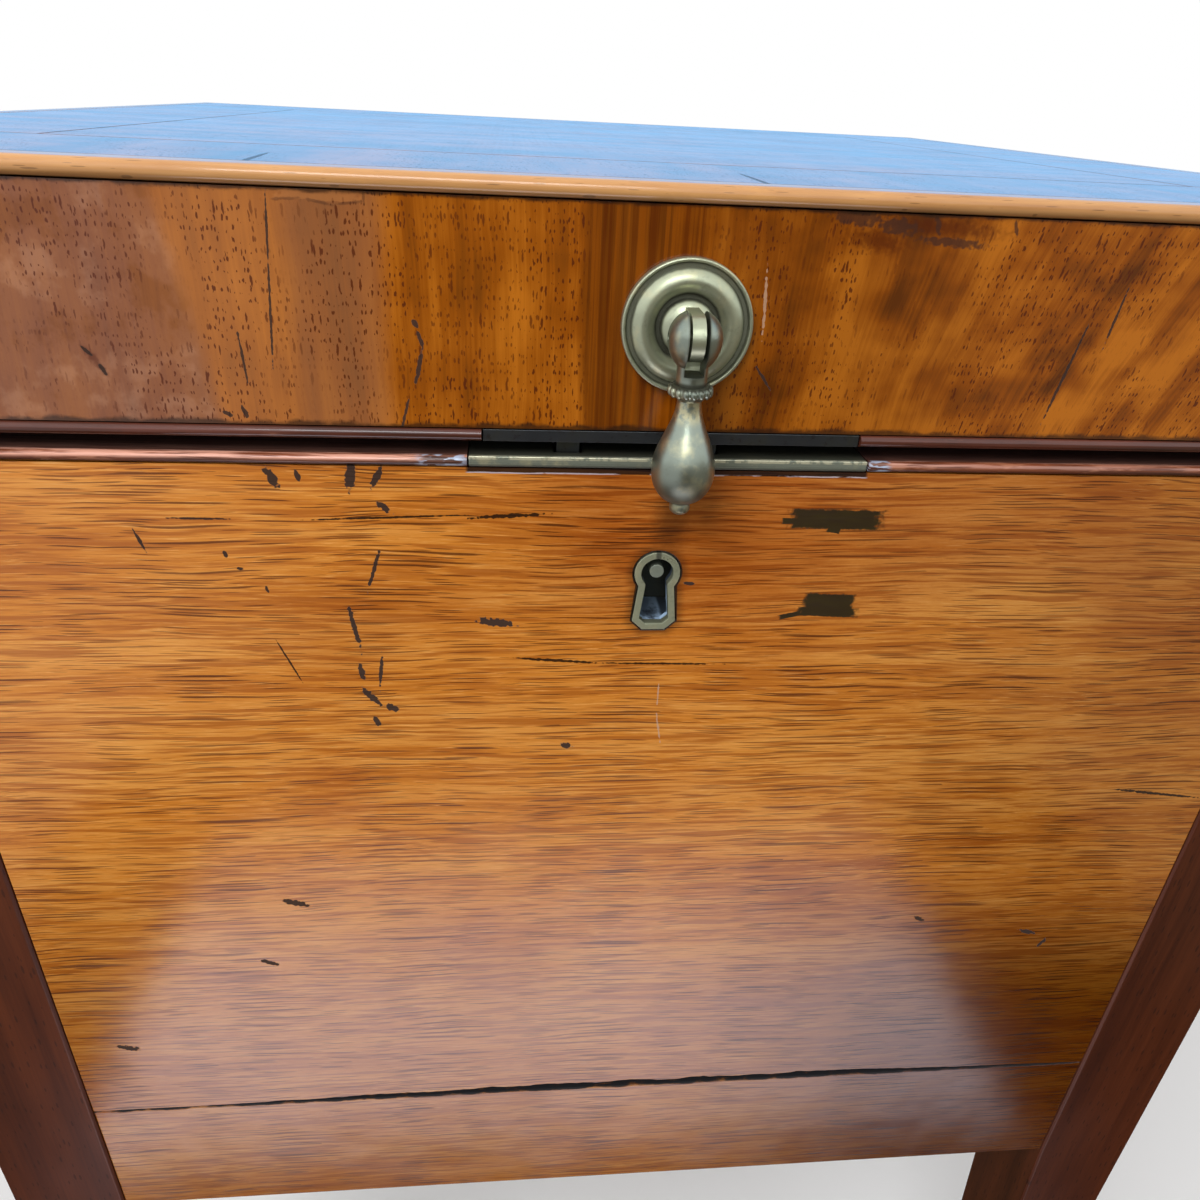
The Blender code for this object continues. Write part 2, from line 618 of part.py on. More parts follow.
def make_bolt(lock, inside_front, link_middle, wall):
    """The bolt: a bar with one hooked finger for each link, under a flat spring."""
    eye_top = LID_GAP - LINK_LENGTH + EYE_FOOT + EYE_HEIGHT
    finger_top = eye_top - BOLT_PLAY
    finger_base = eye_top - EYE_HEIGHT + BOLT_PLAY
    bar_top = LID_GAP - LINK_LENGTH - BOLT_BAR_DROP
    bar_base = bar_top - BOLT_BAR_HEIGHT
    finger_thick = EYE_WIDTH - 2 * BOLT_PLAY
    tips = [middle - LINK_WIDTH / 2 - FINGER_CLEAR for middle in LINK_MIDDLES]
    bar_left = tips[0] - FINGER_LENGTH - HOOK_WIDTH
    bar_right = LINK_MIDDLES[-1] + BOLT_BAR_TAIL
    bar_front = inside_front + FIT
    bar_back = 2 * link_middle - bar_front
    middle = (bar_left + bar_right) / 2
    axis = Vector((middle, link_middle, (bar_top + bar_base) / 2))

    low = Vector((bar_left, bar_front, bar_base))
    high = Vector((bar_right, bar_back, bar_top))
    bolt = part("lock_bolt", box(low - axis, high - axis), "iron", lock, axis)
    for tip in tips:
        back = tip - FINGER_LENGTH - HOOK_WIDTH
        root = tip - FINGER_LENGTH
        hook = [
            (back, bar_top - BOLT_BAR_HEIGHT / 2),
            (root, bar_top - BOLT_BAR_HEIGHT / 2),
            (root, finger_base),
            (tip, finger_base),
            (tip, finger_top),
            (back, finger_top),
        ]
        join(bolt, prism([hook], finger_thick, "XZ"), (0, link_middle, 0), lock)
    low = (KEYHOLE_OFFSET - TALON_WIDTH / 2, bar_front - OVERSHOOT, bar_base - OVERSHOOT)
    high = (KEYHOLE_OFFSET + TALON_WIDTH / 2, bar_back + OVERSHOOT, bar_base + TALON_DEPTH)
    cut(bolt, box(low, high), parent=lock)

    # The spring leans down from the end wall until it meets the top of the bar
    under = []
    for i in range(SPRING_STEPS + 1):
        share = i / SPRING_STEPS
        under.append((wall - FIT - SPRING_LENGTH * (1 - share), bar_top + FIT + SPRING_RISE * share**2))
    over = [(x, z + SPRING_THICK) for x, z in reversed(under)]
    spring = prism([under + over], finger_thick, "XZ")
    part("bolt_spring", spring, "iron", lock, (0, link_middle, 0))


def make_hinge(name, x, case, lid):
    """A butt hinge: two leaves with their knuckles on one pin, lying on the open joint."""
    place = (x, DEPTH / 2 + HINGE_SETBACK, RIM_TOP + LID_GAP / 2)
    low, high = FIT / 2, FIT / 2 + LEAF_THICK
    radius = KNUCKLE_RADIUS
    start = 180 - math.degrees(math.asin(low / radius))
    end = 540 - math.degrees(math.asin(high / radius))
    barrel = arc((0, 0), (radius, radius), start, end, BORE_STEPS)
    outline = [(-LEAF_WIDTH, high), (-LEAF_WIDTH, low)] + barrel
    knuckle = HINGE_LENGTH / 3 / 2
    reach = radius + OVERSHOOT
    leaves = (
        ("lid", lid, 1, ((-HINGE_LENGTH, -knuckle), (knuckle, HINGE_LENGTH))),
        ("case", case, -1, ((-knuckle, knuckle),)),
    )
    for body, parent, sign, gaps in leaves:
        shape = [(y, sign * z) for y, z in outline]
        mesh = smooth(prism([shape], HINGE_LENGTH, "YZ"))
        leaf = part(f"{name}_{body}_leaf", mesh, "old brass", parent, place)
        for left, right in gaps:
            low_corner = (left - FIT / 2, -HINGE_SETBACK, -reach)
            cut(leaf, box(low_corner, (right + FIT / 2, reach, reach)))
        cut(leaf, rod(HINGE_PIN_RADIUS + PIN_FIT, HINGE_LENGTH + OVERSHOOT, "YZ", BORE_STEPS))
    part(f"{name}_pin", rod(HINGE_PIN_RADIUS, HINGE_LENGTH, "YZ"), "old brass", case, place)


def make_lid(lid):
    """Mitred sides with a rebated top board, its veneers, and the beads round both edges."""
    rebate = LID_BOARD_BASE - FIT - LID_SIDE_BASE
    sides = {}
    for side in SIDES:
        drop = LID_BASE - LID_SIDE_BASE if side == "back" else 0
        profile = [
            (0, drop),
            (LID_WALL, drop),
            (LID_WALL, rebate),
            (TOP_BEAD_INSET, rebate),
            (TOP_BEAD_INSET, LID_SIDE_HEIGHT),
            (0, LID_SIDE_HEIGHT),
        ]
        shown = "figured mahogany" if side != "back" else "pine"
        sides[side] = side_strip(f"lid_{side}", profile, side, LID_SIDE_BASE, shown, lid)

    profile = nosed_profile(TOP_BEAD_HEIGHT, TOP_BEAD_PROUD, TOP_BEAD_WIDTH)
    for side in SIDES:
        side_strip(f"top_bead_{side}", profile, side, TOP_BEAD_BASE, "honey edge", lid)

    profile = nosed_profile(LID_BEAD_HEIGHT, LID_BEAD_PROUD, LID_WALL + LID_BEAD_PROUD)
    plate_left = LOCK_OFFSET - LINK_PLATE_LENGTH / 2 - FIT
    plate_right = LOCK_OFFSET + LINK_PLATE_LENGTH / 2 + FIT
    beads = (
        ("lid_bead_front_left", "front", None, plate_left),
        ("lid_bead_front_right", "front", plate_right, None),
        ("lid_bead_right", "right", None, None),
        ("lid_bead_left", "left", None, None),
    )
    for name, side, start, end in beads:
        side_strip(name, profile, side, LID_BASE, "red edge", lid, start, end)

    x = WIDTH / 2 - TOP_BEAD_INSET - FIT
    y = DEPTH / 2 - TOP_BEAD_INSET - FIT
    board = box((-x, -y, 0), (x, y, LID_BOARD))
    part("lid_top_board", board, "pine", lid, (0, 0, LID_BOARD_BASE))
    field_x = WIDTH / 2 - BAND_WIDTH
    field_y = DEPTH / 2 - BAND_WIDTH
    half = FIT / 2
    veneers = {
        "lid_field_veneer": ((-field_x + half, -field_y + half), (field_x - half, field_y - half)),
        "crossband_front": ((-x, -y), (x, -field_y - half)),
        "crossband_back": ((-x, field_y + half), (x, y)),
        "crossband_left": ((-x, -field_y + half), (-field_x - half, field_y - half)),
        "crossband_right": ((field_x + half, -field_y + half), (x, field_y - half)),
    }
    for name, (low, high) in veneers.items():
        sheet = box((*low, 0), (*high, VENEER))
        part(name, sheet, "figured mahogany", lid, (0, 0, LID_TOP - VENEER))
    return sides["front"]


def make_link_plate(lid):
    """The plate let into the lid's lower edge, with two eyed links that drop into the lock."""
    front = -DEPTH / 2
    half = LINK_PLATE_LENGTH / 2
    plate_at = Vector((LOCK_OFFSET, front, LID_BASE))
    sheet = box((-half, 0, 0), (half, LINK_PLATE_DEPTH, LID_BEAD_HEIGHT))
    plate = part("link_plate", sheet, "dark brass", lid, plate_at)
    near = POST_PROUD + LINK_SETBACK
    for middle in LINK_MIDDLES:
        x = middle - LOCK_OFFSET
        low = (x - LINK_WIDTH / 2, near, -LINK_LENGTH)
        high = (x + LINK_WIDTH / 2, near + LINK_DEPTH, LID_BEAD_HEIGHT / 2)
        join(plate, box(low, high))
    eye = near + LINK_DEPTH / 2
    low = (-half, eye - EYE_WIDTH / 2, -LINK_LENGTH + EYE_FOOT)
    high = (half, eye + EYE_WIDTH / 2, -LINK_LENGTH + EYE_FOOT + EYE_HEIGHT)
    cut(plate, box(low, high))


def rosette_profile():
    """The rosette's section from its bore over boss, domed ring and rim, and back along its flat."""
    bore = SHANK_RADIUS + FIT
    groove = ROSETTE_RIM_HEIGHT - ROSETTE_GROOVE
    lip = ROSETTE_LIP
    step = ROSETTE_STEP
    ring_inner = ROSETTE_BOSS_RADIUS + 2 * lip
    ring_middle = (ROSETTE_RING_RADIUS + ring_inner) / 2
    ring_half = (ROSETTE_RING_RADIUS - ring_inner) / 2
    ring_rise = ROSETTE_RING_HEIGHT - ROSETTE_RIM_HEIGHT
    boss_rise = ROSETTE_HEIGHT - ROSETTE_RIM_HEIGHT
    boss_start = math.degrees(math.acos(bore / ROSETTE_BOSS_RADIUS))
    boss = arc((0, ROSETTE_RIM_HEIGHT), (ROSETTE_BOSS_RADIUS, boss_rise), boss_start, 0)
    ring = arc((ring_middle, ROSETTE_RIM_HEIGHT), (ring_half, ring_rise), 180, 0)
    profile = boss + [(ROSETTE_BOSS_RADIUS, groove), (ring_inner, groove)] + ring
    profile += [
        (ROSETTE_RING_RADIUS, groove + step),
        (ROSETTE_RING_RADIUS + step, groove),
        (ROSETTE_RADIUS - 2 * lip, groove),
        (ROSETTE_RADIUS - lip, ROSETTE_RIM_HEIGHT),
        (ROSETTE_RADIUS, ROSETTE_RIM_HEIGHT - lip),
        (ROSETTE_RADIUS, 0),
        (bore, 0),
    ]
    return profile


def pendant_profile():
    """The pendant's section about its pin: ball, neck, collar, drop and finial."""
    neck_angle = math.degrees(math.acos(NECK_RADIUS / HEAD_RADIUS))
    ball = arc((0, 0), (HEAD_RADIUS, HEAD_RADIUS), 90, 0)
    ball += arc((0, 0), (HEAD_RADIUS, HEAD_RADIUS * HEAD_STRETCH), 0, -neck_angle)[1:]
    collar_middle = -COLLAR_TOP - COLLAR_HEIGHT / 2
    collar_depth = COLLAR_RADIUS - NECK_RADIUS
    collar = arc((NECK_RADIUS, collar_middle), (collar_depth, COLLAR_HEIGHT / 2), 90, -90)
    fall = BULB_DROP - DROP_NECK_DROP
    drop = bezier(
        (DROP_NECK_RADIUS, -DROP_NECK_DROP),
        (DROP_NECK_RADIUS, -DROP_NECK_DROP - fall * SLENDER),
        (BULB_RADIUS, -DROP_NECK_DROP - fall * FULL),
        (BULB_RADIUS, -BULB_DROP),
    )
    base = (FINIAL_NECK_RADIUS, -BULB_DROP)
    bowl = arc(base, (BULB_RADIUS - FINIAL_NECK_RADIUS, FINIAL_NECK_DROP - BULB_DROP), 0, -90)[1:]
    finial_middle = -FINIAL_NECK_DROP - FINIAL_HEIGHT / 2
    tilt = math.acos(FINIAL_NECK_RADIUS / FINIAL_RADIUS)
    shoulder = FINIAL_HEIGHT / 2 / math.sin(tilt)
    finial = arc((0, finial_middle), (FINIAL_RADIUS, shoulder), math.degrees(tilt), 0, FINIAL_STEPS)
    finial += arc((0, finial_middle), (FINIAL_RADIUS, FINIAL_HEIGHT / 2), 0, -90, FINIAL_STEPS)[1:]
    return ball + collar + drop + bowl + finial[1:]


def make_pull(lid, lid_front):
    """The drop pull: rosette, forked pendant, and a post whose tongue carries the pin.

    Its frame has its origin on the lid's face, with y running inwards.
    """
    pull = frame("pull", lid, (PULL_OFFSET, -DEPTH / 2, LID_SIDE_BASE + PULL_HEIGHT))
    facing = (math.pi / 2, 0, 0)
    turned("pull_rosette", rosette_profile(), ROSETTE_STEPS, True, "old brass", pull, (0, -FIT, 0), facing)

    shoulder = -ROSETTE_HEIGHT - 2 * FIT
    tongue = [(shoulder, TONGUE_RADIUS)]
    tongue += arc((-PULL_REACH, 0), (TONGUE_RADIUS, TONGUE_RADIUS), 90, 270)
    tongue += [(shoulder, -TONGUE_RADIUS)]
    post = part("pull_post", smooth(prism([tongue], TONGUE_WIDTH, "YZ")), "old brass", pull)
    tail = LID_WALL + FIT + NUT_THICK + SHANK_SPARE
    root = shoulder - SHANK_ROOT
    join(post, rod(SHANK_RADIUS, tail - root, "XZ"), (0, (tail + root) / 2, 0))
    eye = rod(PULL_PIN_RADIUS + PIN_FIT, TONGUE_WIDTH + OVERSHOOT, "YZ", BORE_STEPS)
    cut(post, eye, (0, -PULL_REACH, 0))
    hole = rod(SHANK_RADIUS + PIN_FIT, 2 * LID_WALL + OVERSHOOT, "XZ", BORE_STEPS)
    cut(lid_front, hole, (0, LID_WALL / 2, 0), pull)

    half = NUT_SIZE / 2
    square = [(half, -half), (half, half), (-half, half), (-half, -half)]
    bore = arc((0, 0), (SHANK_RADIUS + PIN_FIT, SHANK_RADIUS + PIN_FIT), 0, 360, BORE_STEPS)[1:]
    nut = prism([square, bore], NUT_THICK, "XZ")
    part("pull_nut", nut, "iron", pull, (0, LID_WALL + FIT + NUT_THICK / 2, 0))

    pin = rod(PULL_PIN_RADIUS, 2 * (HEAD_RADIUS - FIT), "YZ")
    part("pull_pin", pin, "old brass", pull, (0, -PULL_REACH, 0))
    pendant = turned(
        "pull_pendant", pendant_profile(), PENDANT_STEPS, False, "old brass", pull, (0, -PULL_REACH, 0)
    )
    reach = HEAD_RADIUS + OVERSHOOT
    half = FORK_SLOT_WIDTH / 2
    cut(pendant, box((-half, -reach, -FORK_SLOT_DROP), (half, reach, reach)))
    cut(pendant, rod(PULL_PIN_RADIUS + PIN_FIT, 2 * reach, "YZ", BORE_STEPS))


def main():
    clear_scene()
    case = frame("case", None, (0, PLAN_SHIFT, 0))
    make_legs(case)
    front_panel = make_case(case)
    make_dividers(case)
    make_lock(case, front_panel)

    # The lid's frame lies on the case's own while shut, and swings with the hinge axis
    axis_at = Vector((0, DEPTH / 2 + HINGE_SETBACK, RIM_TOP + LID_GAP / 2))
    lid_axis = frame("lid_axis", case, axis_at)
    lid = frame("lid", lid_axis, -axis_at)
    make_hinge("hinge_left", HINGE_INSET - WIDTH / 2, case, lid)
    make_hinge("hinge_right", WIDTH / 2 - HINGE_INSET, case, lid)
    lid_front = make_lid(lid)
    make_link_plate(lid)
    make_pull(lid, lid_front)


if __name__ == "__main__":
    main()
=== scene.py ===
"""Looks of the cellarette on stand: its woods, beads, brass and wear, and the stage it stands on."""

import json
import math

import bmesh
import bpy
from mathutils import Matrix, Vector, noise

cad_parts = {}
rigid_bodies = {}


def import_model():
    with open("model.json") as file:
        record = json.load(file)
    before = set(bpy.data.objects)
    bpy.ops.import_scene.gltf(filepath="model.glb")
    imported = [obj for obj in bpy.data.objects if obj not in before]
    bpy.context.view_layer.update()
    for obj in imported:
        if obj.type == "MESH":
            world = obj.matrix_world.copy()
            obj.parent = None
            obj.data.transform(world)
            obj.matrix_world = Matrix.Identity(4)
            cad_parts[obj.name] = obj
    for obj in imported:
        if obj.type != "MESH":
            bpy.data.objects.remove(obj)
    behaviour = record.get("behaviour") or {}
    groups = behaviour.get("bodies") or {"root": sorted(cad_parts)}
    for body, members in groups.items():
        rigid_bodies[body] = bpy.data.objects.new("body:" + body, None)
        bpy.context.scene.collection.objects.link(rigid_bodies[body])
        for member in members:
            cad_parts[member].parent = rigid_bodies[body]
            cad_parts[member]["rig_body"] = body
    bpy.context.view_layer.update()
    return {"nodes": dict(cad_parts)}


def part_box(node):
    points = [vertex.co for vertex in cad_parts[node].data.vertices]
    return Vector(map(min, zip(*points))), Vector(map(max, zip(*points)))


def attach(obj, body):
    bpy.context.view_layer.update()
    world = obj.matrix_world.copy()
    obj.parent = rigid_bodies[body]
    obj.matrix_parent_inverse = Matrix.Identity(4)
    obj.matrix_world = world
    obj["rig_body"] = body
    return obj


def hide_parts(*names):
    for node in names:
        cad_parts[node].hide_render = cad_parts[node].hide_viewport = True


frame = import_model()

bl_info = {
    "name": "Cellarette on stand",
    "version": (1, 0, 0),
    "blender": (4, 5, 0),
    "location": "3D View > Sidebar > Cellarette",
    "description": "Dresses the cellarette's solids in wood, brass and wear, and sets its stage",
    "category": "Object",
}

NODES = frame["nodes"]

# Small distances of the modelling, in metres
WELD = 0.00001  # points this close are one point
OVERSHOOT = 0.004  # how far a cutter runs past the face it opens
CREASE = math.radians(35)  # edges that meet at more than this are edges of a piece
FLAT = math.radians(0.5)  # faces that meet at less than this are one face

# The picture's frame and the eye that took it, with y running inwards from the lid's face
PICTURE = 1200  # pixels across and down
EYE = (-0.03692, -0.20635, 0.01519)  # from the middle of the lid's top front edge
EYE_YAW = math.radians(6.269)  # to the right
EYE_PITCH = math.radians(28.793)  # downwards
EYE_ROLL = math.radians(3.031)
EYE_FOCUS = 918.73  # focal length in pixels
SENSOR = 36.0  # millimetres

# Places that the frame gives
LID_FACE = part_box("lid_front")[0].y
PANEL_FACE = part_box("front_panel")[0].y
PANEL_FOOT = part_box("front_panel")[0].z
PANEL_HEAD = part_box("front_panel")[1].z
LID_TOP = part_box("lid_field_veneer")[1].z
ROSETTE_LOW, ROSETTE_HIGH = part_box("pull_rosette")
PIN_LOW, PIN_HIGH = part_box("pull_pin")
PULL_PIN = (PIN_LOW + PIN_HIGH) / 2
LOCK_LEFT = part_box("lock_plate")[0].x
LOCK_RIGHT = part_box("lock_plate")[1].x

# Wear of the front panel: where a mark starts and ends in the picture, and its half width in metres
PANEL_DENTS = {
    "scratch at the left": ((134, 531), (147, 553), 0.00045),
    "first chip under the rim": ((267, 471), (276, 484), 0.0011),
    "second chip under the rim": ((296, 473), (299, 479), 0.0007),
    "third chip under the rim": ((350, 462), (350, 488), 0.0012),
    "fourth chip under the rim": ((381, 468), (372, 486), 0.0008),
    "chip below the others": ((378, 503), (388, 510), 0.0009),
    "slanting scratch": ((379, 551), (369, 587), 0.00055),
    "long scratch": ((349, 608), (361, 650), 0.0007),
    "end of the long scratch": ((360, 665), (363, 677), 0.0008),
    "scratch beside it": ((382, 656), (380, 686), 0.0005),
    "dent chain": ((365, 690), (380, 705), 0.0010),
    "dent at the chain's end": ((388, 706), (396, 709), 0.0010),
    "dent under the chain": ((376, 719), (379, 724), 0.0008),
    "bruise": ((481, 621), (511, 624), 0.0013),
    "lower bruise": ((286, 901), (306, 905), 0.0013),
    "small lower bruise": ((263, 961), (276, 964), 0.0010),
    "speck in the middle": ((564, 745), (570, 746), 0.0010),
    "nick by the escutcheon": ((684, 583), (694, 584), 0.0005),
    "low speck at the right": ((1020, 930), (1034, 933), 0.0009),
    "speck by the scratch": ((224, 552), (226, 556), 0.0005),
    "second speck by the scratch": ((236, 568), (242, 569), 0.0004),
    "third speck by the scratch": ((266, 587), (268, 591), 0.0004),
    "speck in the haze": ((120, 1047), (138, 1049), 0.0012),
    "speck at the low right": ((1038, 946), (1044, 940), 0.0008),
    "second speck at the right": ((915, 917), (922, 920), 0.0008),
}
PANEL_HAIRLINES = {
    "fine scratch": ((276, 640), (303, 683), 0.00028),
    "split below the keyhole": ((515, 658), (600, 663), 0.00048),
    "rest of that split": ((600, 663), (718, 664), 0.00032),
    "line under the rim at the left": ((165, 518), (232, 519), 0.00032),
    "line under the rim": ((306, 520), (470, 515), 0.00030),
    "end of that line": ((470, 518), (545, 514), 0.00060),
    "dark vein at the right": ((1112, 789), (1200, 798), 0.00055),
}
PANEL_FILLINGS = {
    "upper filling": ((798, 518.5), (874, 520.5), 0.0029),
    "upper filling's left end": ((785, 521), (800, 521), 0.0009),
    "upper filling's tail": ((831, 529), (837, 530), 0.0011),
    "lower filling": ((813, 603), (843, 604), 0.0032),
    "lower filling's foot": ((800, 611), (853, 613), 0.0015),
    "lower filling's left end": ((781, 617), (800, 613), 0.0008),
}
PANEL_STAINS = {
    "stain round the keyhole": ((610, 545), (860, 560), 0.034),
    "stain under the lock": ((480, 482), (900, 492), 0.012),
}
# Painted shadow of the pendant on the front panel, below the pull
PANEL_PULL_SHADOW = {
    "painted shadow below the pull": ((676, 498), (666, 548), 0.0062),
}
PANEL_SCRATCHES = {
    "pale scratch under the keyhole": ((659, 681), (657, 706), 0.00022),
    "dull end of that scratch": ((656, 712), (660, 742), 0.00030),
}

# Wear of the lid's front
LID_DENTS = {
    "head of the gouge": ((414, 322), (417, 327), 0.0006),
    "gouge": ((417, 330), (423, 347), 0.0005),
    "deepest part of the gouge": ((422, 350), (416, 384), 0.00055),
    "tail of the gouge": ((409, 398), (401, 432), 0.00035),
    "split at the left": ((265, 192), (268, 262), 0.00028),
    "lower half of that split": ((268, 262), (273, 368), 0.00030),
    "split beside the knot": ((237, 330), (249, 388), 0.00032),
    "knot at the lower left": ((99, 364), (106, 374), 0.0005),
    "knot above it": ((83, 348), (90, 354), 0.0005),
    "slanting split at the right": ((1039, 428), (1090, 322), 0.00040),
    "upper slanting split": ((1104, 346), (1128, 290), 0.00036),
    "curved crack by the pull": ((757, 368), (769, 388), 0.00036),
    "chip in the lower edge": ((224, 412), (232, 416), 0.0006),
    "second chip in the lower edge": ((243, 408), (247, 416), 0.0006),
}
LID_STAINS = {
    "dirt along the right mend": ((880, 222), (1010, 234), 0.0022),
    "dark figure by the mend": ((850, 235), (900, 246), 0.0028),
    "dark around the knots": ((82, 345), (108, 376), 0.0012),
}
LID_MENDS = {
    "dark end of the right mend": ((844, 215), (872, 219), 0.0024),
    "right mend": ((884, 224), (915, 229), 0.0019),
    "foot of the right mend": ((918, 239), (985, 246), 0.0011),
    "upright in the right mend": ((937, 217), (939, 236), 0.0007),
    "end of the right mend": ((1016, 222), (1017, 234), 0.0005),
}
LID_MEND_LINES = {
    "foot of the left mend": ((270, 199), (302, 198), 0.0004),
    "dip in that foot": ((302, 198), (332, 205), 0.00035),
    "right end of that foot": ((332, 205), (364, 201), 0.00035),
    "right end of the left mend": ((363, 192), (364, 203), 0.00035),
}
LID_PALE_MENDS = {
    "left mend": ((276, 192), (358, 196), 0.0013),
}
LID_SCRATCHES = {
    "pale scratch": ((767, 274), (763, 330), 0.00035),
}

# Stripes of the lid's front: left and right edge and fade in metres from the middle, strength and colour
LID_STRIPES = {
    "pale stripe": (-0.1075, -0.0830, 0.003, 0.50, "veneer_pale"),
    "brown stripe": (-0.0840, -0.0640, 0.003, 0.60, "veneer_brown"),
    "bright stripe": (-0.0655, -0.0240, 0.004, 0.10, "veneer_light"),
    "dark stripe by the pull": (-0.0210, -0.0035, 0.0015, 0.74, "veneer_dark"),
    "shade under the pull": (-0.0035, 0.0300, 0.005, 0.32, "veneer_dark"),
    "shade right of the pull": (0.0300, 0.0680, 0.008, 0.22, "veneer_dark"),
}

# Joints between lengths of the front crossbanding, and shakes near the back of the field
BAND_JOINTS = {
    "left joint": ((220, 168), (270, 152), 0.0008),
    "right joint": ((738, 173), (794, 193), 0.0008),
}
FIELD_SHAKES = {
    "shake near the back": ((660, 126.5), (716, 130.5), 0.0016),
    "shake at the right": ((926, 146.5), (958, 151.5), 0.0016),
    "shake at the left": ((572, 122), (604, 124), 0.0016),
}

# Section of the rosette and the pendant, in metres: close to the solids, with a flatter ring and a
# slimmer collar, since the gadroons stand on it
ROSETTE_RIM_HEIGHT = 0.0020
ROSETTE_GROOVE = 0.0009
ROSETTE_RING_RADIUS = 0.0125
ROSETTE_RING_HEIGHT = 0.0034
ROSETTE_BOSS_RADIUS = 0.0062
ROSETTE_LIP = 0.0005
ROSETTE_STEP = 0.0003
ROSETTE_BORE = 0.0023
HEAD_RADIUS = 0.0059
HEAD_STRETCH = 1.22
FORK_SLOT_WIDTH = 0.0043
FORK_SLOT_DROP = 0.0078
NECK_RADIUS = 0.0034
COLLAR_RADIUS = 0.0046
COLLAR_TOP = 0.0099
COLLAR_HEIGHT = 0.0027
DROP_NECK_RADIUS = 0.0027
DROP_NECK_DROP = 0.0134
BULB_RADIUS = 0.00725
BULB_DROP = 0.0294
SLENDER = 0.35
FULL = 0.64
FINIAL_NECK_RADIUS = 0.0019
FINIAL_NECK_DROP = 0.0371
FINIAL_RADIUS = 0.0024
FINIAL_HEIGHT = 0.0033
PIN_BORE = 0.0010
GADROON_SUNK = 0.0003  # how deep a gadroon's middle sits in the collar
GADROON_LEAN = math.radians(14)

# Outline of the ring round the keyhole, as on the solids: half widths, and drops from its head's middle
KEYHOLE_HEAD = 0.0059
KEYHOLE_NECK = 0.0046
KEYHOLE_FOOT = 0.0057
KEYHOLE_FOOT_DROP = 0.0139
KEYHOLE_TIP = 0.0030
KEYHOLE_TIP_DROP = 0.0165

# The panel's broken foot, over the rail
CRACK_LEFT, CRACK_RIGHT = -0.174, 0.176
CRACK_MIDDLE = 0.012
CRACK_WIDEST = 0.055  # half the length over which it gapes most
CRACK_TAPER = 0.10  # length over which it closes
CRACK_RISE = 0.0031
CRACK_DEPTH = 0.0065
CRACK_STATION = 0.0025
CRACK_CLOSED = 0.86  # share of the rise that is lost at its ends
CRACK_WAVES = 70, 330, 150  # to the metre: long, short and at the back
CRACK_ROWS = 0.4, 2.7, 7.1  # rows of the noise that they are read from
CRACK_SWING = 0.35, 0.22, 0.3  # how far each of them sways
CRACK_BACK = 0.45  # rise at the back beside the front
CRACK_LIFT = 1.1  # rise where the wedge leaves the panel's face

# Screws, nails and countersinks
SINK_DEPTH = 0.0009
SINK_ROOM = 0.00012  # round a head and over it
SCREW_INSET = 0.005  # from the edges of a plate
SMALL_SCREW = 0.9  # a lock's screw beside a hinge's
HEAD_SHOULDER = 0.82  # top of a head beside its foot
SLOT_REACH = 2.6  # length of the slot's cutter in radii
NAIL_SHARES = (0.12, 0.37, 0.63, 0.88)  # along a cleat

# Steps of the turned and swept pieces
TURN_STEPS = 128
ARC_STEPS = 24
LIP_STEPS = 8
NOSE_STEPS = 18
EDGE_STEPS = 3
HEAD_STEPS = 28
GADROON_SEGMENTS, GADROON_RINGS = 14, 10
STATION = 0.004  # length of bead between two sections
WANDER_WAVES = (60, 90, 50)  # of a bead, to the metre of its run, its line and its height
FINE_WAVES = 4.3  # finer waves beside those
FINE_WANDER = 0.35  # their share of the wander

MARK_DEPTH = 0.003  # how deep a painted mark goes
MARK_LUMP = 0.0011  # size of the lumps in a mark's edge

# Faces that hold marks: the axis across each, and its level
PANEL_FRONT = (1, PANEL_FACE)
LID_FRONT = (1, LID_FACE)
LID_UPPER = (2, LID_TOP)

# The stage, in metres
FLOOR_HALF = 8.0
LAMPS = {  # size, place and target
    "key": (0.8, (-0.55, -0.95, 1.50), (0, LID_FACE, 0.5)),
    "back_fill": (1.6, (1.1, 1.9, 1.6), (0, 0, 0.45)),
}
GLARE_LEFT, GLARE_RIGHT, GLARE_HEIGHT = -0.5, 0.6, 0.002
GLARE_NEAR, GLARE_FAR = LID_FACE - 0.01, LID_FACE - 0.75
WINDOW_CORNERS = [(-0.62, -1.5, 2.0), (0.20, -1.5, 2.0), (0.20, -1.9, 1.6), (-0.62, -1.9, 1.6)]

# What the varnish mirrors, by direction
SKY_BEHIND_EYE = (1.35, 1.42, 1.5)
SKY_ABOVE = (1.1, 1.15, 1.2)
GROUND_DARK = (0.09, 0.07, 0.035)
GROUND_LEFT = (0.66, 0.68, 0.72)
GROUND_RIGHT = (0.28, 0.26, 0.22)
GLARE_COLOUR = (0.96, 0.93, 1.05)
WINDOW_COLOUR = (0.92, 0.97, 1.0)

# Outputs of Blender's nodes, and the sockets of its Mix node, by number
COLOUR = 1
VALUE = 1
MIX_FACTOR, MIX_A, MIX_B, MIX_RESULT = 0, 6, 7, 2


# Sizes, colours and stage that a user may change

def length(description, default):
    return bpy.props.FloatProperty(
        description=description, default=default, min=0, unit="LENGTH", precision=5
    )


def amount(description, default):
    return bpy.props.FloatProperty(description=description, default=default, min=0)


def shade(description, default):
    return bpy.props.FloatVectorProperty(
        description=description, default=default, min=0, max=1, size=3, subtype="COLOR"
    )


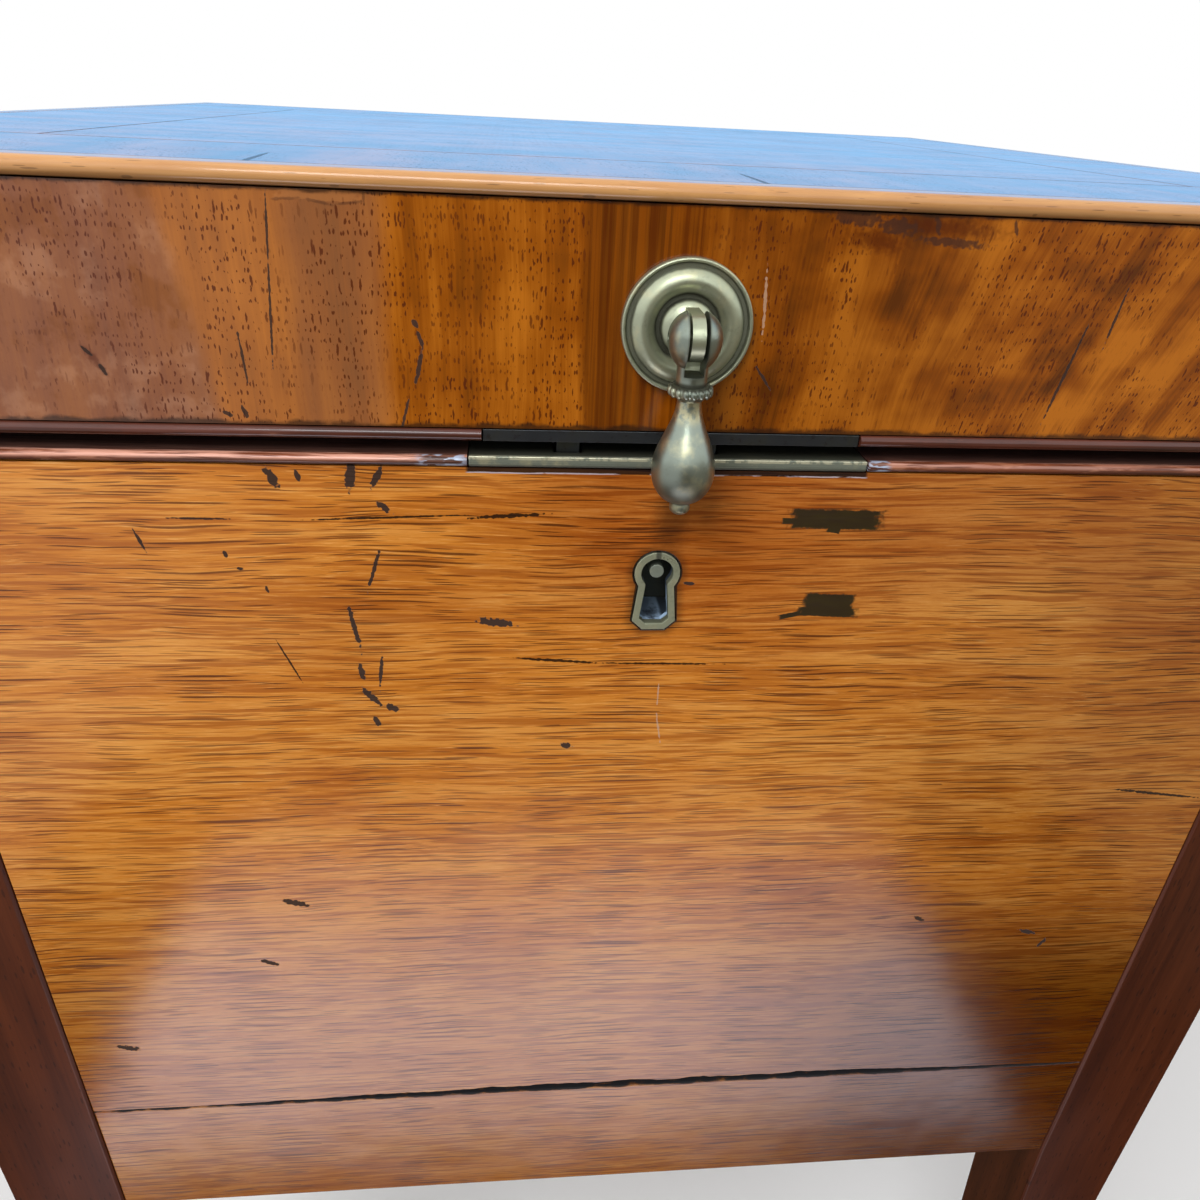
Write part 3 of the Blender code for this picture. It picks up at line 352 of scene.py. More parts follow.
class CellaretteSizes(bpy.types.PropertyGroup):
    """Small sizes of the finish."""

    edge_round: length("Rounding of the boards' edges", 0.0005)
    arris_round: length("Rounding of the posts' worn edges", 0.00025)
    metal_round: length("Rounding of the edges of plates and hinges", 0.00018)
    veneer_round: length("Rounding of the edges of the veneers", 0.0005)
    bead_wander: length("How far a bead strays from a straight line", 0.00016)
    pore_length: length("From one dark line to the next along the grain", 0.0550)
    pore_spacing: length("From one dark line to the next across the grain", 0.00115)
    gadroon_length: length("Length of one gadroon of the collar", 0.0025)
    gadroon_width: length("Width of one gadroon of the collar", 0.0016)
    gadroon_count: bpy.props.IntProperty(description="Gadroons round the collar", default=16, min=6)
    screw_radius: length("Radius of a hinge screw's head", 0.0026)
    screw_height: length("How far a screw's head stands out", 0.00035)
    slot_width: length("Width of a screw's slot", 0.0008)
    nail_radius: length("Radius of a cleat nail's head", 0.0021)


class CellaretteFinishes(bpy.types.PropertyGroup):
    """Colours of the woods and metals."""

    panel_pale: shade("Bright fibres of the panels", (0.97, 0.485, 0.135))
    panel_light: shade("Lightest grain of the panels", (0.81, 0.330, 0.060))
    panel_middle: shade("Common grain of the panels", (0.71, 0.245, 0.028))
    panel_dark: shade("Darkest grain of the panels", (0.44, 0.115, 0.010))
    # Darkening that is partly age and partly painted shade where the light falls off
    panel_shade_and_age: shade("What age leaves of the panel's colour", (0.22, 0.16, 0.03))
    panel_red: shade("What red patches leave of it", (0.62, 0.42, 0.30))
    panel_stained: shade("What stains leave of it", (0.62, 0.40, 0.20))
    panel_scratch: shade("Pale scratches of the front panel", (0.62, 0.42, 0.30))
    # Darkening of the rail that is partly age and partly painted shade where the light falls off
    rail_shade_and_age: shade("What age leaves of the rail's colour", (0.20, 0.14, 0.03))
    pore: shade("Dark pores of the panels", (0.125, 0.030, 0.003))
    veneer_light: shade("Lightest figure of the lid", (0.54, 0.160, 0.008))
    veneer_middle: shade("Common figure of the lid", (0.30, 0.071, 0.001))
    veneer_dark: shade("Darkest figure of the lid", (0.115, 0.027, 0.001))
    veneer_pale: shade("Pale stripe beside the bleached figure", (0.50, 0.185, 0.050))
    veneer_brown: shade("Brown stripe left of the middle", (0.350, 0.136, 0.049))
    # Bleached veneer with a painted reflection of pale haze over it
    veneer_dull_haze: shade("Bleached figure at the lid's left", (0.235, 0.092, 0.050))
    # Pale spots of bleached veneer and of painted reflection
    veneer_bleached_haze: shade("Palest spots at the lid's left", (0.44, 0.22, 0.13))
    veneer_scratch: shade("Pale scratch of the lid", (0.60, 0.36, 0.22))
    mend: shade("Dark mends along the lid's upper edge", (0.062, 0.022, 0.012))
    fleck: shade("Dark flecks of the lid's veneer", (0.094, 0.013, 0.0))
    post_light: shade("Lighter grain of the posts", (0.125, 0.029, 0.008))
    post_dark: shade("Darker grain of the posts", (0.046, 0.010, 0.003))
    post_pore: shade("Dark pores of the posts", (0.02, 0.006, 0.003))
    # Rubbed edges of the posts, also a painted highlight along the arris
    post_rubbed_highlight: shade("Rubbed edges of the posts", (0.19, 0.062, 0.030))
    honey: shade("Honey-coloured bead round the top", (0.68, 0.345, 0.125))
    honey_dark: shade("Darker grain of the top bead", (0.53, 0.245, 0.085))
    honey_rubbed: shade("Rubbed places of the top bead", (0.72, 0.36, 0.12))
    low_bead: shade("Dark bead round the lid's lower edge", (0.125, 0.033, 0.018))
    low_bead_rubbed: shade("Rubbed places of that bead", (0.30, 0.11, 0.065))
    red: shade("Red-brown bead round the case's rim", (0.24, 0.066, 0.028))
    # Dirt, and painted shade on the rim's lower half and on its faces under the lid
    red_dirt_and_shade: shade("Dirt on the lower beads", (0.052, 0.018, 0.012))
    red_rubbed: shade("Rubbed places of the rim", (0.52, 0.21, 0.115))
    # Painted highlight on the rim's worn crown
    rim_crown_highlight: shade("Worn crown of the rim", (0.80, 0.39, 0.28))
    pine_light: shade("Light grain of the plain boards", (0.52, 0.275, 0.105))
    pine_dark: shade("Dark grain of the plain boards", (0.315, 0.138, 0.042))
    pine_stain: shade("Stains of the plain boards", (0.16, 0.072, 0.028))
    # Painted shade inside the panel's broken foot, on the rail's top seen through it, and in the seam under
    # the lock
    crack: shade("Dirt inside the panel's broken foot", (0.006, 0.005, 0.006))
    # Also carries the painted shadow below the pull and the painted shade round the keyhole's ring
    dent: shade("Old dirt in dents and scratches", (0.022, 0.009, 0.004))
    filling: shade("Old filling in the front panel", (0.040, 0.026, 0.002))
    # Painted highlights on the chipped varnish at the lock's ends
    chalk: shade("Whitened varnish by the lock", (0.50, 0.58, 0.74))
    # Painted highlight along the chipped edge under the lock
    seam_highlight: shade("Whitened varnish under the lock", (0.62, 0.52, 0.56))
    brass: shade("Patinated brass of the pull", (0.43, 0.45, 0.31))
    brass_warm: shade("Brass where the patina is rubbed", (0.62, 0.56, 0.33))
    # Painted highlight along the front arris of the lock's edge
    brass_arris_highlight: shade("Front arris of the lock's edge", (0.86, 0.82, 0.58))
    brass_dull: shade("Duller brass of the pendant and the plates", (0.28, 0.31, 0.25))
    brass_dark: shade("Dirt in the grooves of the brass", (0.060, 0.058, 0.040))
    brass_spotted: shade("Spots in the patina", (0.22, 0.225, 0.17))
    hinge: shade("Yellow brass of the hinges", (0.40, 0.33, 0.15))
    plate: shade("Dull dark brass of the link plate", (0.055, 0.058, 0.062))
    iron: shade("Dull iron of the lock's inside", (0.13, 0.13, 0.14))
    # Iron whose blue tint is a painted reflection of the sky seen through the keyhole
    lock_box: shade("Blue-grey iron of the lock's box", (0.10, 0.13, 0.18))
    # Painted reflection of the sky inside the keyhole, drawn as pale dust
    dust: shade("Pale dust inside the keyhole", (0.40, 0.56, 0.76))
    rust: shade("Rust on the iron", (0.12, 0.055, 0.028))


class CellaretteStage(bpy.types.PropertyGroup):
    """Floor, light and reflections."""

    floor: shade("Colour of the plain floor", (0.90, 0.90, 0.90))
    daylight: amount("Soft light from all round", 0.50)
    key_power: amount("Power of each large soft light in watts", 15)
    sky: shade("Sky that the lid's top mirrors", (0.27, 0.60, 0.98))
    sky_strength: amount("Brightness of that sky", 1.20)
    haze: amount("Brightness of the floor that the panel mirrors", 3.2)
    window: amount("Brightness of the window in beads and brass", 9.0)


def sizes():
    return bpy.context.scene.cellarette_sizes


def finishes():
    return bpy.context.scene.cellarette_finishes


# The eye, and what a pixel of the picture sees

def eye_frame():
    """The eye's place and its directions right, up and ahead."""
    ahead = Vector((
        math.sin(EYE_YAW) * math.cos(EYE_PITCH),
        math.cos(EYE_YAW) * math.cos(EYE_PITCH),
        -math.sin(EYE_PITCH),
    ))
    level = Vector((math.cos(EYE_YAW), -math.sin(EYE_YAW), 0))
    above = level.cross(ahead)
    right = math.cos(EYE_ROLL) * level + math.sin(EYE_ROLL) * above
    up = math.cos(EYE_ROLL) * above - math.sin(EYE_ROLL) * level
    place = Vector(EYE) + Vector((0, LID_FACE, LID_TOP))
    return place, right, up, ahead


def seen_on(pixel, axis, level):
    """Where the picture's pixel lies on the plane across an axis (0, 1 or 2) at a level."""
    place, right, up, ahead = eye_frame()
    middle = PICTURE / 2
    ray = ahead + (pixel[0] - middle) / EYE_FOCUS * right - (pixel[1] - middle) / EYE_FOCUS * up
    return place + ray * ((level - place[axis]) / ray[axis])


# Shader maths

class Term:
    """A socket in a material's tree, on which arithmetic adds Math nodes."""

    def __init__(self, paint, socket):
        self.paint = paint
        self.socket = socket

    def math(self, operation, *values):
        return self.paint.node("ShaderNodeMath", {"operation": operation}, dict(enumerate(values)))

    def other(self, output):
        """Another output of the same node."""
        return Term(self.paint, self.socket.node.outputs[output])

    def __add__(self, value):
        return self.math("ADD", self, value)

    def __sub__(self, value):
        return self.math("SUBTRACT", self, value)

    def __rsub__(self, value):
        return self.math("SUBTRACT", value, self)

    def __mul__(self, value):
        return self.math("MULTIPLY", self, value)

    def __truediv__(self, value):
        return self.math("DIVIDE", self, value)

    def __abs__(self):
        return self.math("ABSOLUTE", self)

    def most(self, value):
        return self.math("MAXIMUM", self, value)

    def least(self, value):
        return self.math("MINIMUM", self, value)

    __radd__ = __add__
    __rmul__ = __mul__


class Paint:
    """One material, or the world, and its nodes."""

    def __init__(self, name, world=None):
        self.material = world or bpy.data.materials.new(name)
        self.material.use_nodes = True
        self.tree = self.material.node_tree
        self.tree.nodes.clear()

    def node(self, kind, settings=None, inputs=None, output=0):
        """Adds a node: its settings first, then the values or links of its sockets."""
        node = self.tree.nodes.new(kind)
        for name, value in (settings or {}).items():
            if name == "stops":
                self.set_stops(node.color_ramp, value)
            else:
                setattr(node, name, value)
        for key, value in (inputs or {}).items():
            if isinstance(value, Term):
                self.tree.links.new(value.socket, node.inputs[key])
            else:
                node.inputs[key].default_value = value
        return Term(self, node.outputs[output]) if node.outputs else None

    @staticmethod
    def set_stops(ramp, stops):
        while len(ramp.elements) < len(stops):
            ramp.elements.new(1)
        for element, (position, colour) in zip(ramp.elements, stops):
            element.position = position
            element.color = opaque(colour)

    def place(self):
        """Object coordinates, which are metres in the part's own frame."""
        return self.node("ShaderNodeTexCoord", output="Object")

    def parts(self, vector):
        """The x, y and z of a vector."""
        x = self.node("ShaderNodeSeparateXYZ", inputs={"Vector": vector})
        return x, x.other(1), x.other(2)

    def vector(self, operation, *values, output=0):
        inputs = dict(enumerate(values))
        return self.node("ShaderNodeVectorMath", {"operation": operation}, inputs, output)

    def length(self, vector):
        return self.vector("LENGTH", vector, output=VALUE)

    def shifted(self, place, reach, amount, detail=2):
        """The place, strayed by a noise of that reach by up to that amount along each axis."""
        stray = self.noise(place, reach, detail, output=COLOUR)
        centred = self.vector("SUBTRACT", stray, (0.5, 0.5, 0.5))
        return self.vector("ADD", place, self.vector("MULTIPLY", centred, amount))

    def noise(self, place, reach, detail=2, roughness=0.5, output=0):
        """Noise whose features are about as long along each axis as reach says."""
        if not isinstance(reach, tuple):
            reach = (reach,) * 3
        scaled = self.vector("DIVIDE", place, reach)
        inputs = {"Vector": scaled, "Scale": 1.0, "Detail": detail, "Roughness": roughness}
        return self.node("ShaderNodeTexNoise", inputs=inputs, output=output)

    def cells(self, place, axis, along, across):
        """Scattered cells on any face that runs along an axis: the distance to the nearest one's middle."""
        at = dict(zip("xyz", self.parts(place)))
        lengthwise = at.pop(axis) / along
        one, other = at.values()
        flat = self.node("ShaderNodeCombineXYZ", inputs={"X": lengthwise, "Y": (one + other) / across})
        return self.node(
            "ShaderNodeTexVoronoi", {"voronoi_dimensions": "2D"}, {"Vector": flat, "Scale": 1.0}
        )

    def step(self, value, low, high):
        """0 below low, 1 above high, and smooth between them."""
        inputs = {"Value": value, "From Min": low, "From Max": high}
        return self.node("ShaderNodeMapRange", {"interpolation_type": "SMOOTHSTEP"}, inputs)

    def ramp(self, value, stops):
        return self.node("ShaderNodeValToRGB", {"stops": stops}, {"Fac": value})

    def mix(self, factor, a, b, blend="MIX"):
        settings = {"data_type": "RGBA", "blend_type": blend}
        inputs = {MIX_FACTOR: factor, MIX_A: opaque(a), MIX_B: opaque(b)}
        return self.node("ShaderNodeMix", settings, inputs, MIX_RESULT)

    def marks(self, place, marks, face, lumpy=0.9, inner=0.80, outer=1.02, square=False):
        """Mask of a face's ragged marks, as ellipses or as boxes."""
        axis, level = face
        nearest = None
        for first, last, half in marks.values():
            start, end = seen_on(first, axis, level), seen_on(last, axis, level)
            along = end - start
            if axis == 1:
                turn = (0, math.atan2(-along.z, along.x), 0)
                size = (along.length / 2 + half, MARK_DEPTH, half)
            else:
                turn = (0, 0, math.atan2(along.y, along.x))
                size = (along.length / 2 + half, half, MARK_DEPTH)
            own = self.node("ShaderNodeMapping", {"vector_type": "TEXTURE"}, {
                "Vector": place, "Location": ((start + end) / 2)[:], "Rotation": turn, "Scale": size,
            })
            if square:
                x, y, z = self.parts(own)
                reach = abs(x).most(abs(y)).most(abs(z))
            else:
                reach = self.length(own)
            nearest = reach if nearest is None else nearest.least(reach)
        lumps = self.noise(place, MARK_LUMP, 1) - 0.5
        return 1 - self.step(nearest + lumps * (2 * lumpy), inner, outer)

    def bump(self, height, distance):
        return self.node("ShaderNodeBump", inputs={"Height": height, "Distance": distance})

    def finish(self, sockets):
        """Ends the tree in a Principled shader with these sockets, and gives the material."""
        shader = self.node("ShaderNodeBsdfPrincipled", inputs=sockets)
        self.node("ShaderNodeOutputMaterial", inputs={"Surface": shader})
        return self.material


def opaque(colour):
    """A colour with its alpha, or a link left as it is."""
    if isinstance(colour, Term):
        return colour
    return (*colour[:3], 1.0)


def drawn_out(axis, along, across):
    """The reach of a pattern that runs along one axis, x, y or z."""
    return tuple(along if name == axis else across for name in "xyz")


# Woods

def pore_mask(paint, place, axis, along, across, small, large):
    """Lens-shaped pores along an axis, of mixed sizes as shares of their spacing; below 0 there is none."""
    gap = paint.cells(place, axis, along, across)
    pick = paint.node("ShaderNodeSeparateColor", inputs={"Color": gap.other(COLOUR)})
    size = (pick * (large - small) + small).most(0.01)
    return 1 - paint.step(gap, size * 0.65, size)


def straight_grain(paint, place, axis):
    """Orange-brown wood with straight grain: its colour and its dark lines."""
    colours = finishes()
    across = sizes().pore_spacing
    along = sizes().pore_length
    place = paint.shifted(place, drawn_out(axis, 0.10, 0.035), drawn_out(axis, 0.0, 0.006), 3)
    clouds = paint.noise(place, drawn_out(axis, 0.16, 0.030), 2)
    bands = paint.noise(place, drawn_out(axis, 0.075, 0.0050), 3, 0.6)
    tone = clouds * 0.55 + bands * 0.60 - 0.075
    colour = paint.ramp(tone, [
        (0.30, colours.panel_dark),
        (0.46, colours.panel_middle),
        (0.60, colours.panel_light),
    ])
    fibres = paint.noise(place, drawn_out(axis, along * 0.22, across * 0.32), 3, 0.7)
    colour = paint.mix(paint.step(fibres, 0.53, 0.70) * 0.60, colour, colours.panel_pale)
    colour = paint.mix(paint.step(fibres, 0.48, 0.30) * 0.60, colour, colours.panel_dark)
    crowd = paint.step(clouds * 0.5 + bands * 0.5, 0.64, 0.38)
    short = pore_mask(paint, place, axis, along * 0.42, across * 0.66, -0.05, 0.33)
    long = pore_mask(paint, place, axis, along, across, -0.05, 0.30)
    streaks = paint.noise(place, drawn_out(axis, along * 0.6, across * 0.95), 2, 0.6)
    colour = paint.mix(paint.step(streaks, 0.47, 0.62) * 0.76, colour, colours.panel_dark)
    lines = (short * (crowd * 0.45 + 0.55)).most(long * (crowd * 0.30 + 0.70))
    return paint.mix(lines * 0.95, colour, colours.pore), lines


def varnished(paint, place, colour, lines, gloss=0.17, wave=0.0004, worn=None):
    """Sockets of old varnish over a wood: slow waves, dark lines a little duller, worn places matt."""
    waves = paint.noise(place, 0.04, 2)
    roughness = waves * 0.12 + lines * 0.08 + (gloss - 0.06)
    if worn is not None:
        roughness = roughness + worn * 0.7
    return {
        "Base Color": colour,
        "Roughness": roughness,
        "Normal": paint.bump(waves, wave),
        "IOR": 1.5,
    }


def panel_wood(name, axis, front=False):
    """Varnished orange-brown mahogany; the front panel also has its wear."""
    paint = Paint(name)
    colours = finishes()
    place = paint.place()
    colour, pores = straight_grain(paint, place, axis)
    if not front:
        return paint.finish(varnished(paint, place, colour, pores))
    x, y, z = paint.parts(place)

    # The lower half is darker, most at the right, and the upper right a little: partly age, partly painted
    # shade where the light falls off
    low = 1 - paint.step(z, PANEL_FOOT + 0.03, PANEL_HEAD - 0.10)
    shade_and_age = (low * (paint.step(x, 0.0, 0.13) * 0.56 + 0.44)).most(paint.step(x, 0.02, 0.15) * 0.34)
    colour = paint.mix(shade_and_age, colour, colours.panel_shade_and_age, "MULTIPLY")
    redder = paint.noise(place, (0.075, 0.075, 0.04), 2)
    rim_stain = paint.step(z, PANEL_HEAD - 0.055, PANEL_HEAD) * paint.step(x, -0.05, 0.03)
    colour = paint.mix(
        paint.step(redder + rim_stain * 0.22, 0.50, 0.78) * 0.5,
        colour,
        colours.panel_red,
        "MULTIPLY",
    )

    stains = paint.marks(place, PANEL_STAINS, PANEL_FRONT, 0.1, 0.1, 1.2)
    colour = paint.mix(stains * 0.8, colour, colours.panel_stained, "MULTIPLY")
    # Painted shadow below the pull, painted shade round the keyhole's ring, and the dark joint at the
    # ring's edge
    shadow_and_joint = paint.marks(place, PANEL_PULL_SHADOW, PANEL_FRONT, 0.1, 0.15, 1.15)
    away = from_keyhole(paint, x, z)
    shadow_and_joint = (shadow_and_joint * 0.6).most((1 - paint.step(away, 0.0004, 0.0032)) * 0.5)
    shadow_and_joint = shadow_and_joint.most((1 - paint.step(away, 0.0005, 0.0008)) * 0.95)
    colour = paint.mix(shadow_and_joint, colour, colours.dent)
    dents = paint.marks(place, PANEL_DENTS, PANEL_FRONT, 0.7)
    hairlines = paint.marks(place, PANEL_HAIRLINES, PANEL_FRONT, 0.6)
    fillings = paint.marks(place, PANEL_FILLINGS, PANEL_FRONT, 0.16, square=True)
    lumps = paint.noise(place, (0.006, 0.006, 0.0012), 2)
    colour = paint.mix(hairlines * 0.95, colour, colours.dent)
    colour = paint.mix(fillings, colour, paint.mix(lumps, colours.dent, colours.filling))
    colour = paint.mix(dents * 0.97, colour, colours.dent)
    scratches = paint.marks(place, PANEL_SCRATCHES, PANEL_FRONT)
    colour = paint.mix(scratches * 0.6, colour, colours.panel_scratch)

    # Painted shade inside the broken foot, a dark seam of painted shade under the lock's edge, and painted
    # highlights on the chipped varnish along it
    ragged = paint.noise(place, (0.011, 0.004, 0.004), 4, 0.65)
    inside = paint.step(y, PANEL_FACE + 0.0002, PANEL_FACE + 0.0007) * (
        1 - paint.step(y, PANEL_FACE + CRACK_DEPTH, PANEL_FACE + CRACK_DEPTH + 0.001)
    )
    broken = inside * (1 - paint.step(z, PANEL_FOOT + 2 * CRACK_RISE, PANEL_FOOT + 2.2 * CRACK_RISE))
    colour = paint.mix(broken, colour, colours.crack)
    by_lock = paint.step(x, LOCK_LEFT - 0.001, LOCK_LEFT) * (
        1 - paint.step(x, LOCK_RIGHT, LOCK_RIGHT + 0.001)
    )
    # A dark seam of painted shade under the lock's edge
    seam = paint.step(z + ragged * 0.0006, PANEL_HEAD - 0.0012, PANEL_HEAD - 0.0010) * by_lock
    # A painted highlight along the chipped edge under the lock
    chalk = seam * (1 - paint.step(z + ragged * 0.0006, PANEL_HEAD - 0.0009, PANEL_HEAD - 0.0007))
    chalk = chalk * paint.step(ragged - paint.step(x, LOCK_LEFT, LOCK_LEFT + 0.05) * 0.1, 0.30, 0.40)
    colour = paint.mix(seam * 0.92, colour, colours.crack)
    colour = paint.mix(chalk * 0.85, colour, colours.seam_highlight)
    worn = dents.most(fillings * 0.2).most(broken)
    return paint.finish(varnished(paint, place, colour, pores, worn=worn))


def from_keyhole(paint, x, z):
    """How far a place on the panel's face lies outside the ring round the keyhole."""
    low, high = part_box("keyhole_escutcheon")
    aside = abs(x - (low.x + high.x) / 2)
    drop = (high.z - KEYHOLE_HEAD) - z
    head = paint.node("ShaderNodeCombineXYZ", inputs={"X": aside, "Y": drop})
    head = paint.length(head) - KEYHOLE_HEAD
    flank = aside - drop * ((KEYHOLE_FOOT - KEYHOLE_NECK) / KEYHOLE_FOOT_DROP) - KEYHOLE_NECK
    slope = (KEYHOLE_FOOT - KEYHOLE_TIP) / (KEYHOLE_TIP_DROP - KEYHOLE_FOOT_DROP)
    corner = aside + (drop - KEYHOLE_FOOT_DROP) * slope - KEYHOLE_FOOT
    corner = corner * math.cos(math.atan(slope))
    foot = flank.most(corner).most(drop - KEYHOLE_TIP_DROP).most(0 - drop)
    return head.least(foot)


def rail_wood():
    """The front rail: the panel's wood, darker, with a broken upper edge."""
    paint = Paint("front_rail_mahogany")
    place = paint.place()
    colour, pores = straight_grain(paint, place, "x")
    x, _, z = paint.parts(place)
    # Darker towards the right: partly age, partly painted shade where the light falls off
    shade_and_age = paint.step(x, 0.0, 0.13) * 0.56 + 0.44
    colour = paint.mix(shade_and_age, colour, finishes().rail_shade_and_age, "MULTIPLY")
    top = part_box("front_rail")[1].z
    ragged = paint.noise(place, (0.008, 0.004, 0.004), 4, 0.65)
    # Painted shade on the rail's top edge, seen through the panel's broken foot
    broken = paint.step(z + ragged * 0.0026, top + 0.0004, top + 0.0012)
    colour = paint.mix(broken, colour, finishes().crack)
    return paint.finish(varnished(paint, place, colour, pores, worn=broken))


def figured_veneer(paint, place, axis):
    """Mottled veneer: its colour and its flecks, with the grain along an axis."""
    colours = finishes()
    place = paint.shifted(place, drawn_out(axis, 0.06, 0.03), drawn_out(axis, 0.002, 0.005))
    stripes = paint.noise(place, drawn_out(axis, 0.14, 0.013), 3, 0.5)
    mottle = paint.noise(place, drawn_out(axis, 0.012, 0.020), 3, 0.55)
    hairs = paint.noise(place, drawn_out(axis, 0.03, 0.0008), 2, 0.6)
    tone = stripes * 0.62 + mottle * 0.36 + hairs * 0.14 - 0.06
    colour = paint.ramp(tone, [
        (0.34, colours.veneer_dark),
        (0.48, colours.veneer_middle),
        (0.62, colours.veneer_light),
    ])
    flecks = fleck_mask(paint, place, axis)
    return paint.mix(flecks * 0.85, colour, colours.fleck), flecks


def fleck_mask(paint, place, axis, crowded=None):
    """Short dark ragged flecks in crowds, and crowded where the given mask says."""
    crowd = paint.step(paint.noise(place, drawn_out(axis, 0.030, 0.013), 3), 0.40, 0.54)
    if crowded is not None:
        crowd = crowd.most(crowded)
    ragged = paint.shifted(place, 0.0011, drawn_out(axis, 0.0009, 0.00035), 1)
    small = pore_mask(paint, ragged, axis, 0.0020, 0.00078, -0.14, 0.38)
    longer = pore_mask(paint, ragged, axis, 0.0070, 0.00135, -0.24, 0.25)
    return (small * (crowd * 0.9 + 0.1)).most(longer * (crowd * 0.6 + 0.4))


def lid_front_wood():
    """The lid's front: upright veneer in stripes, leaning to the right of the pull, with its wear."""
    paint = Paint("lid_front_veneer")
    colours = finishes()
    place = paint.place()
    x, y, z = paint.parts(place)
    middle = (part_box("lid_front")[0].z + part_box("lid_front")[1].z) / 2

    # Right of the pull the figure leans further the further it is from it
    lean = paint.step(x, -0.01, 0.13) * 0.44
    slant = (z - middle) * lean
    leaning = paint.node("ShaderNodeCombineXYZ", inputs={"X": x - slant, "Y": y, "Z": z})
    steeper = paint.node("ShaderNodeCombineXYZ", inputs={"X": x - slant * 0.45, "Y": y, "Z": z})
    leaning = paint.shifted(leaning, (0.03, 0.03, 0.05), (0.006, 0.0, 0.004))
    stripes = paint.noise(leaning, (0.0085, 0.05, 0.07), 3, 0.55)
    mottle = paint.noise(leaning, (0.018, 0.05, 0.014), 2, 0.6)
    hairs = paint.noise(leaning, (0.0006, 0.05, 0.03), 2, 0.6)
    blotched = paint.step(x, -0.02, 0.05) * 0.34 + 0.26
    tone = stripes * 0.56 + (mottle - 0.5) * blotched + hairs * 0.18 + 0.13
    colour = paint.ramp(tone, [
        (0.34, colours.veneer_dark),
        (0.47, colours.veneer_middle),
        (0.62, colours.veneer_light),
    ])

    # Bright and dark stripes, set out from the middle of the lid
    wavy = paint.parts(paint.shifted(place, (0.02, 0.02, 0.03), (0.005, 0.0, 0.0)))[0]
    threads = paint.noise(place, (0.0011, 0.05, 0.09), 2, 0.6)
    for left, right, fade, strength, tint in LID_STRIPES.values():
        inside = paint.step(wavy, left - fade, left + fade) * (
            1 - paint.step(wavy, right - fade, right + fade)
        )
        colour = paint.mix(inside * strength, colour, getattr(colours, tint))
    smooth = paint.step(wavy, -0.0225, -0.0195) * (1 - paint.step(wavy, 0.0, 0.016))
    colour = paint.mix(smooth * paint.step(threads, 0.50, 0.64) * 0.6, colour, colours.veneer_middle)
    colour = paint.mix(smooth * paint.step(threads, 0.48, 0.34) * 0.6, colour, colours.fleck)

    # The left end is bleached and dull, with pale mottling; its pale haze is partly a painted reflection
    dull = 1 - paint.step(x * 0.5 + wavy * 0.5 + (z - middle) * 0.143, -0.1075, -0.1025)
    pale = paint.noise(place, (0.010, 0.02, 0.012), 4, 0.6)
    spots = paint.step(pale, 0.52, 0.66) * 0.6
    bleached = paint.mix(spots, colours.veneer_dull_haze, colours.veneer_bleached_haze)
    bleached = paint.mix(paint.step(pale, 0.47, 0.34) * 0.6, bleached, colours.veneer_dark)
    colour = paint.mix(dull * 0.70, colour, bleached)

    crowded = paint.step(wavy, -0.066, -0.058) * (1 - paint.step(wavy, -0.028, -0.023)) * 0.7
    flecks = fleck_mask(paint, steeper, "z", crowded) * (1 - smooth * 0.9)
    colour = paint.mix(flecks * 0.88, colour, colours.fleck)
    stains = paint.marks(place, LID_STAINS, LID_FRONT, 0.5, 0.2, 1.1)
    colour = paint.mix(stains * 0.7, colour, colours.fleck)
    pale_mends = paint.marks(place, LID_PALE_MENDS, LID_FRONT, 0.4, square=True)
    colour = paint.mix(pale_mends * 0.5, colour, colours.veneer_pale)
    mends = paint.marks(place, LID_MENDS, LID_FRONT, 0.8, 0.55, 1.05)
    colour = paint.mix(mends * 0.8, colour, colours.mend)
    mend_lines = paint.marks(place, LID_MEND_LINES, LID_FRONT, 0.8, 0.4, 1.2)
    colour = paint.mix(mend_lines * 0.5, colour, colours.mend)
    dents = paint.marks(place, LID_DENTS, LID_FRONT, 0.6)
    colour = paint.mix(dents * 0.92, colour, colours.dent)
    scratches = paint.marks(place, LID_SCRATCHES, LID_FRONT)
    colour = paint.mix(scratches * 0.7, colour, colours.veneer_scratch)

    # Darker along both edges
    low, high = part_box("lid_front")[0].z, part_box("lid_front")[1].z
    edge = paint.noise(place, (0.006, 0.02, 0.004), 4, 0.65)
    dirt = (1 - paint.step(z - edge * 0.003, low - 0.0012, low)).most(
        paint.step(z + edge * 0.002, high + 0.0002, high + 0.0010)
    )
    colour = paint.mix(dirt * 0.8, colour, colours.dent)
    return paint.finish(varnished(paint, place, colour, flecks, 0.16, worn=dents))


def veneer(name, axis, gloss):
    """Varnished upright veneer of the lid's sides."""
    paint = Paint(name)
    place = paint.place()
    colour, flecks = figured_veneer(paint, place, axis)
    return paint.finish(varnished(paint, place, colour, flecks, gloss))


def top_veneer(node, axis, marks):
    """Varnished veneer of the lid's top, with dirt in the joint round it and its own marks."""
    paint = Paint(f"{node}_wood")
    place = paint.place()
    colour, flecks = figured_veneer(paint, place, axis)
    low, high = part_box(node)
    x, y, _ = paint.parts(place)
    inset = (x - low.x).least(high.x - x).least((y - low.y).least(high.y - y))
    worn = (1 - paint.step(inset, 0.0002, 0.0007)) * 0.85
    if marks:
        worn = worn.most(paint.marks(place, marks, LID_UPPER, 0.3))
    colour = paint.mix(worn * 0.9, colour, finishes().dent)
    return paint.finish(varnished(paint, place, colour, flecks, 0.10, 0.00012, worn * 0.3))


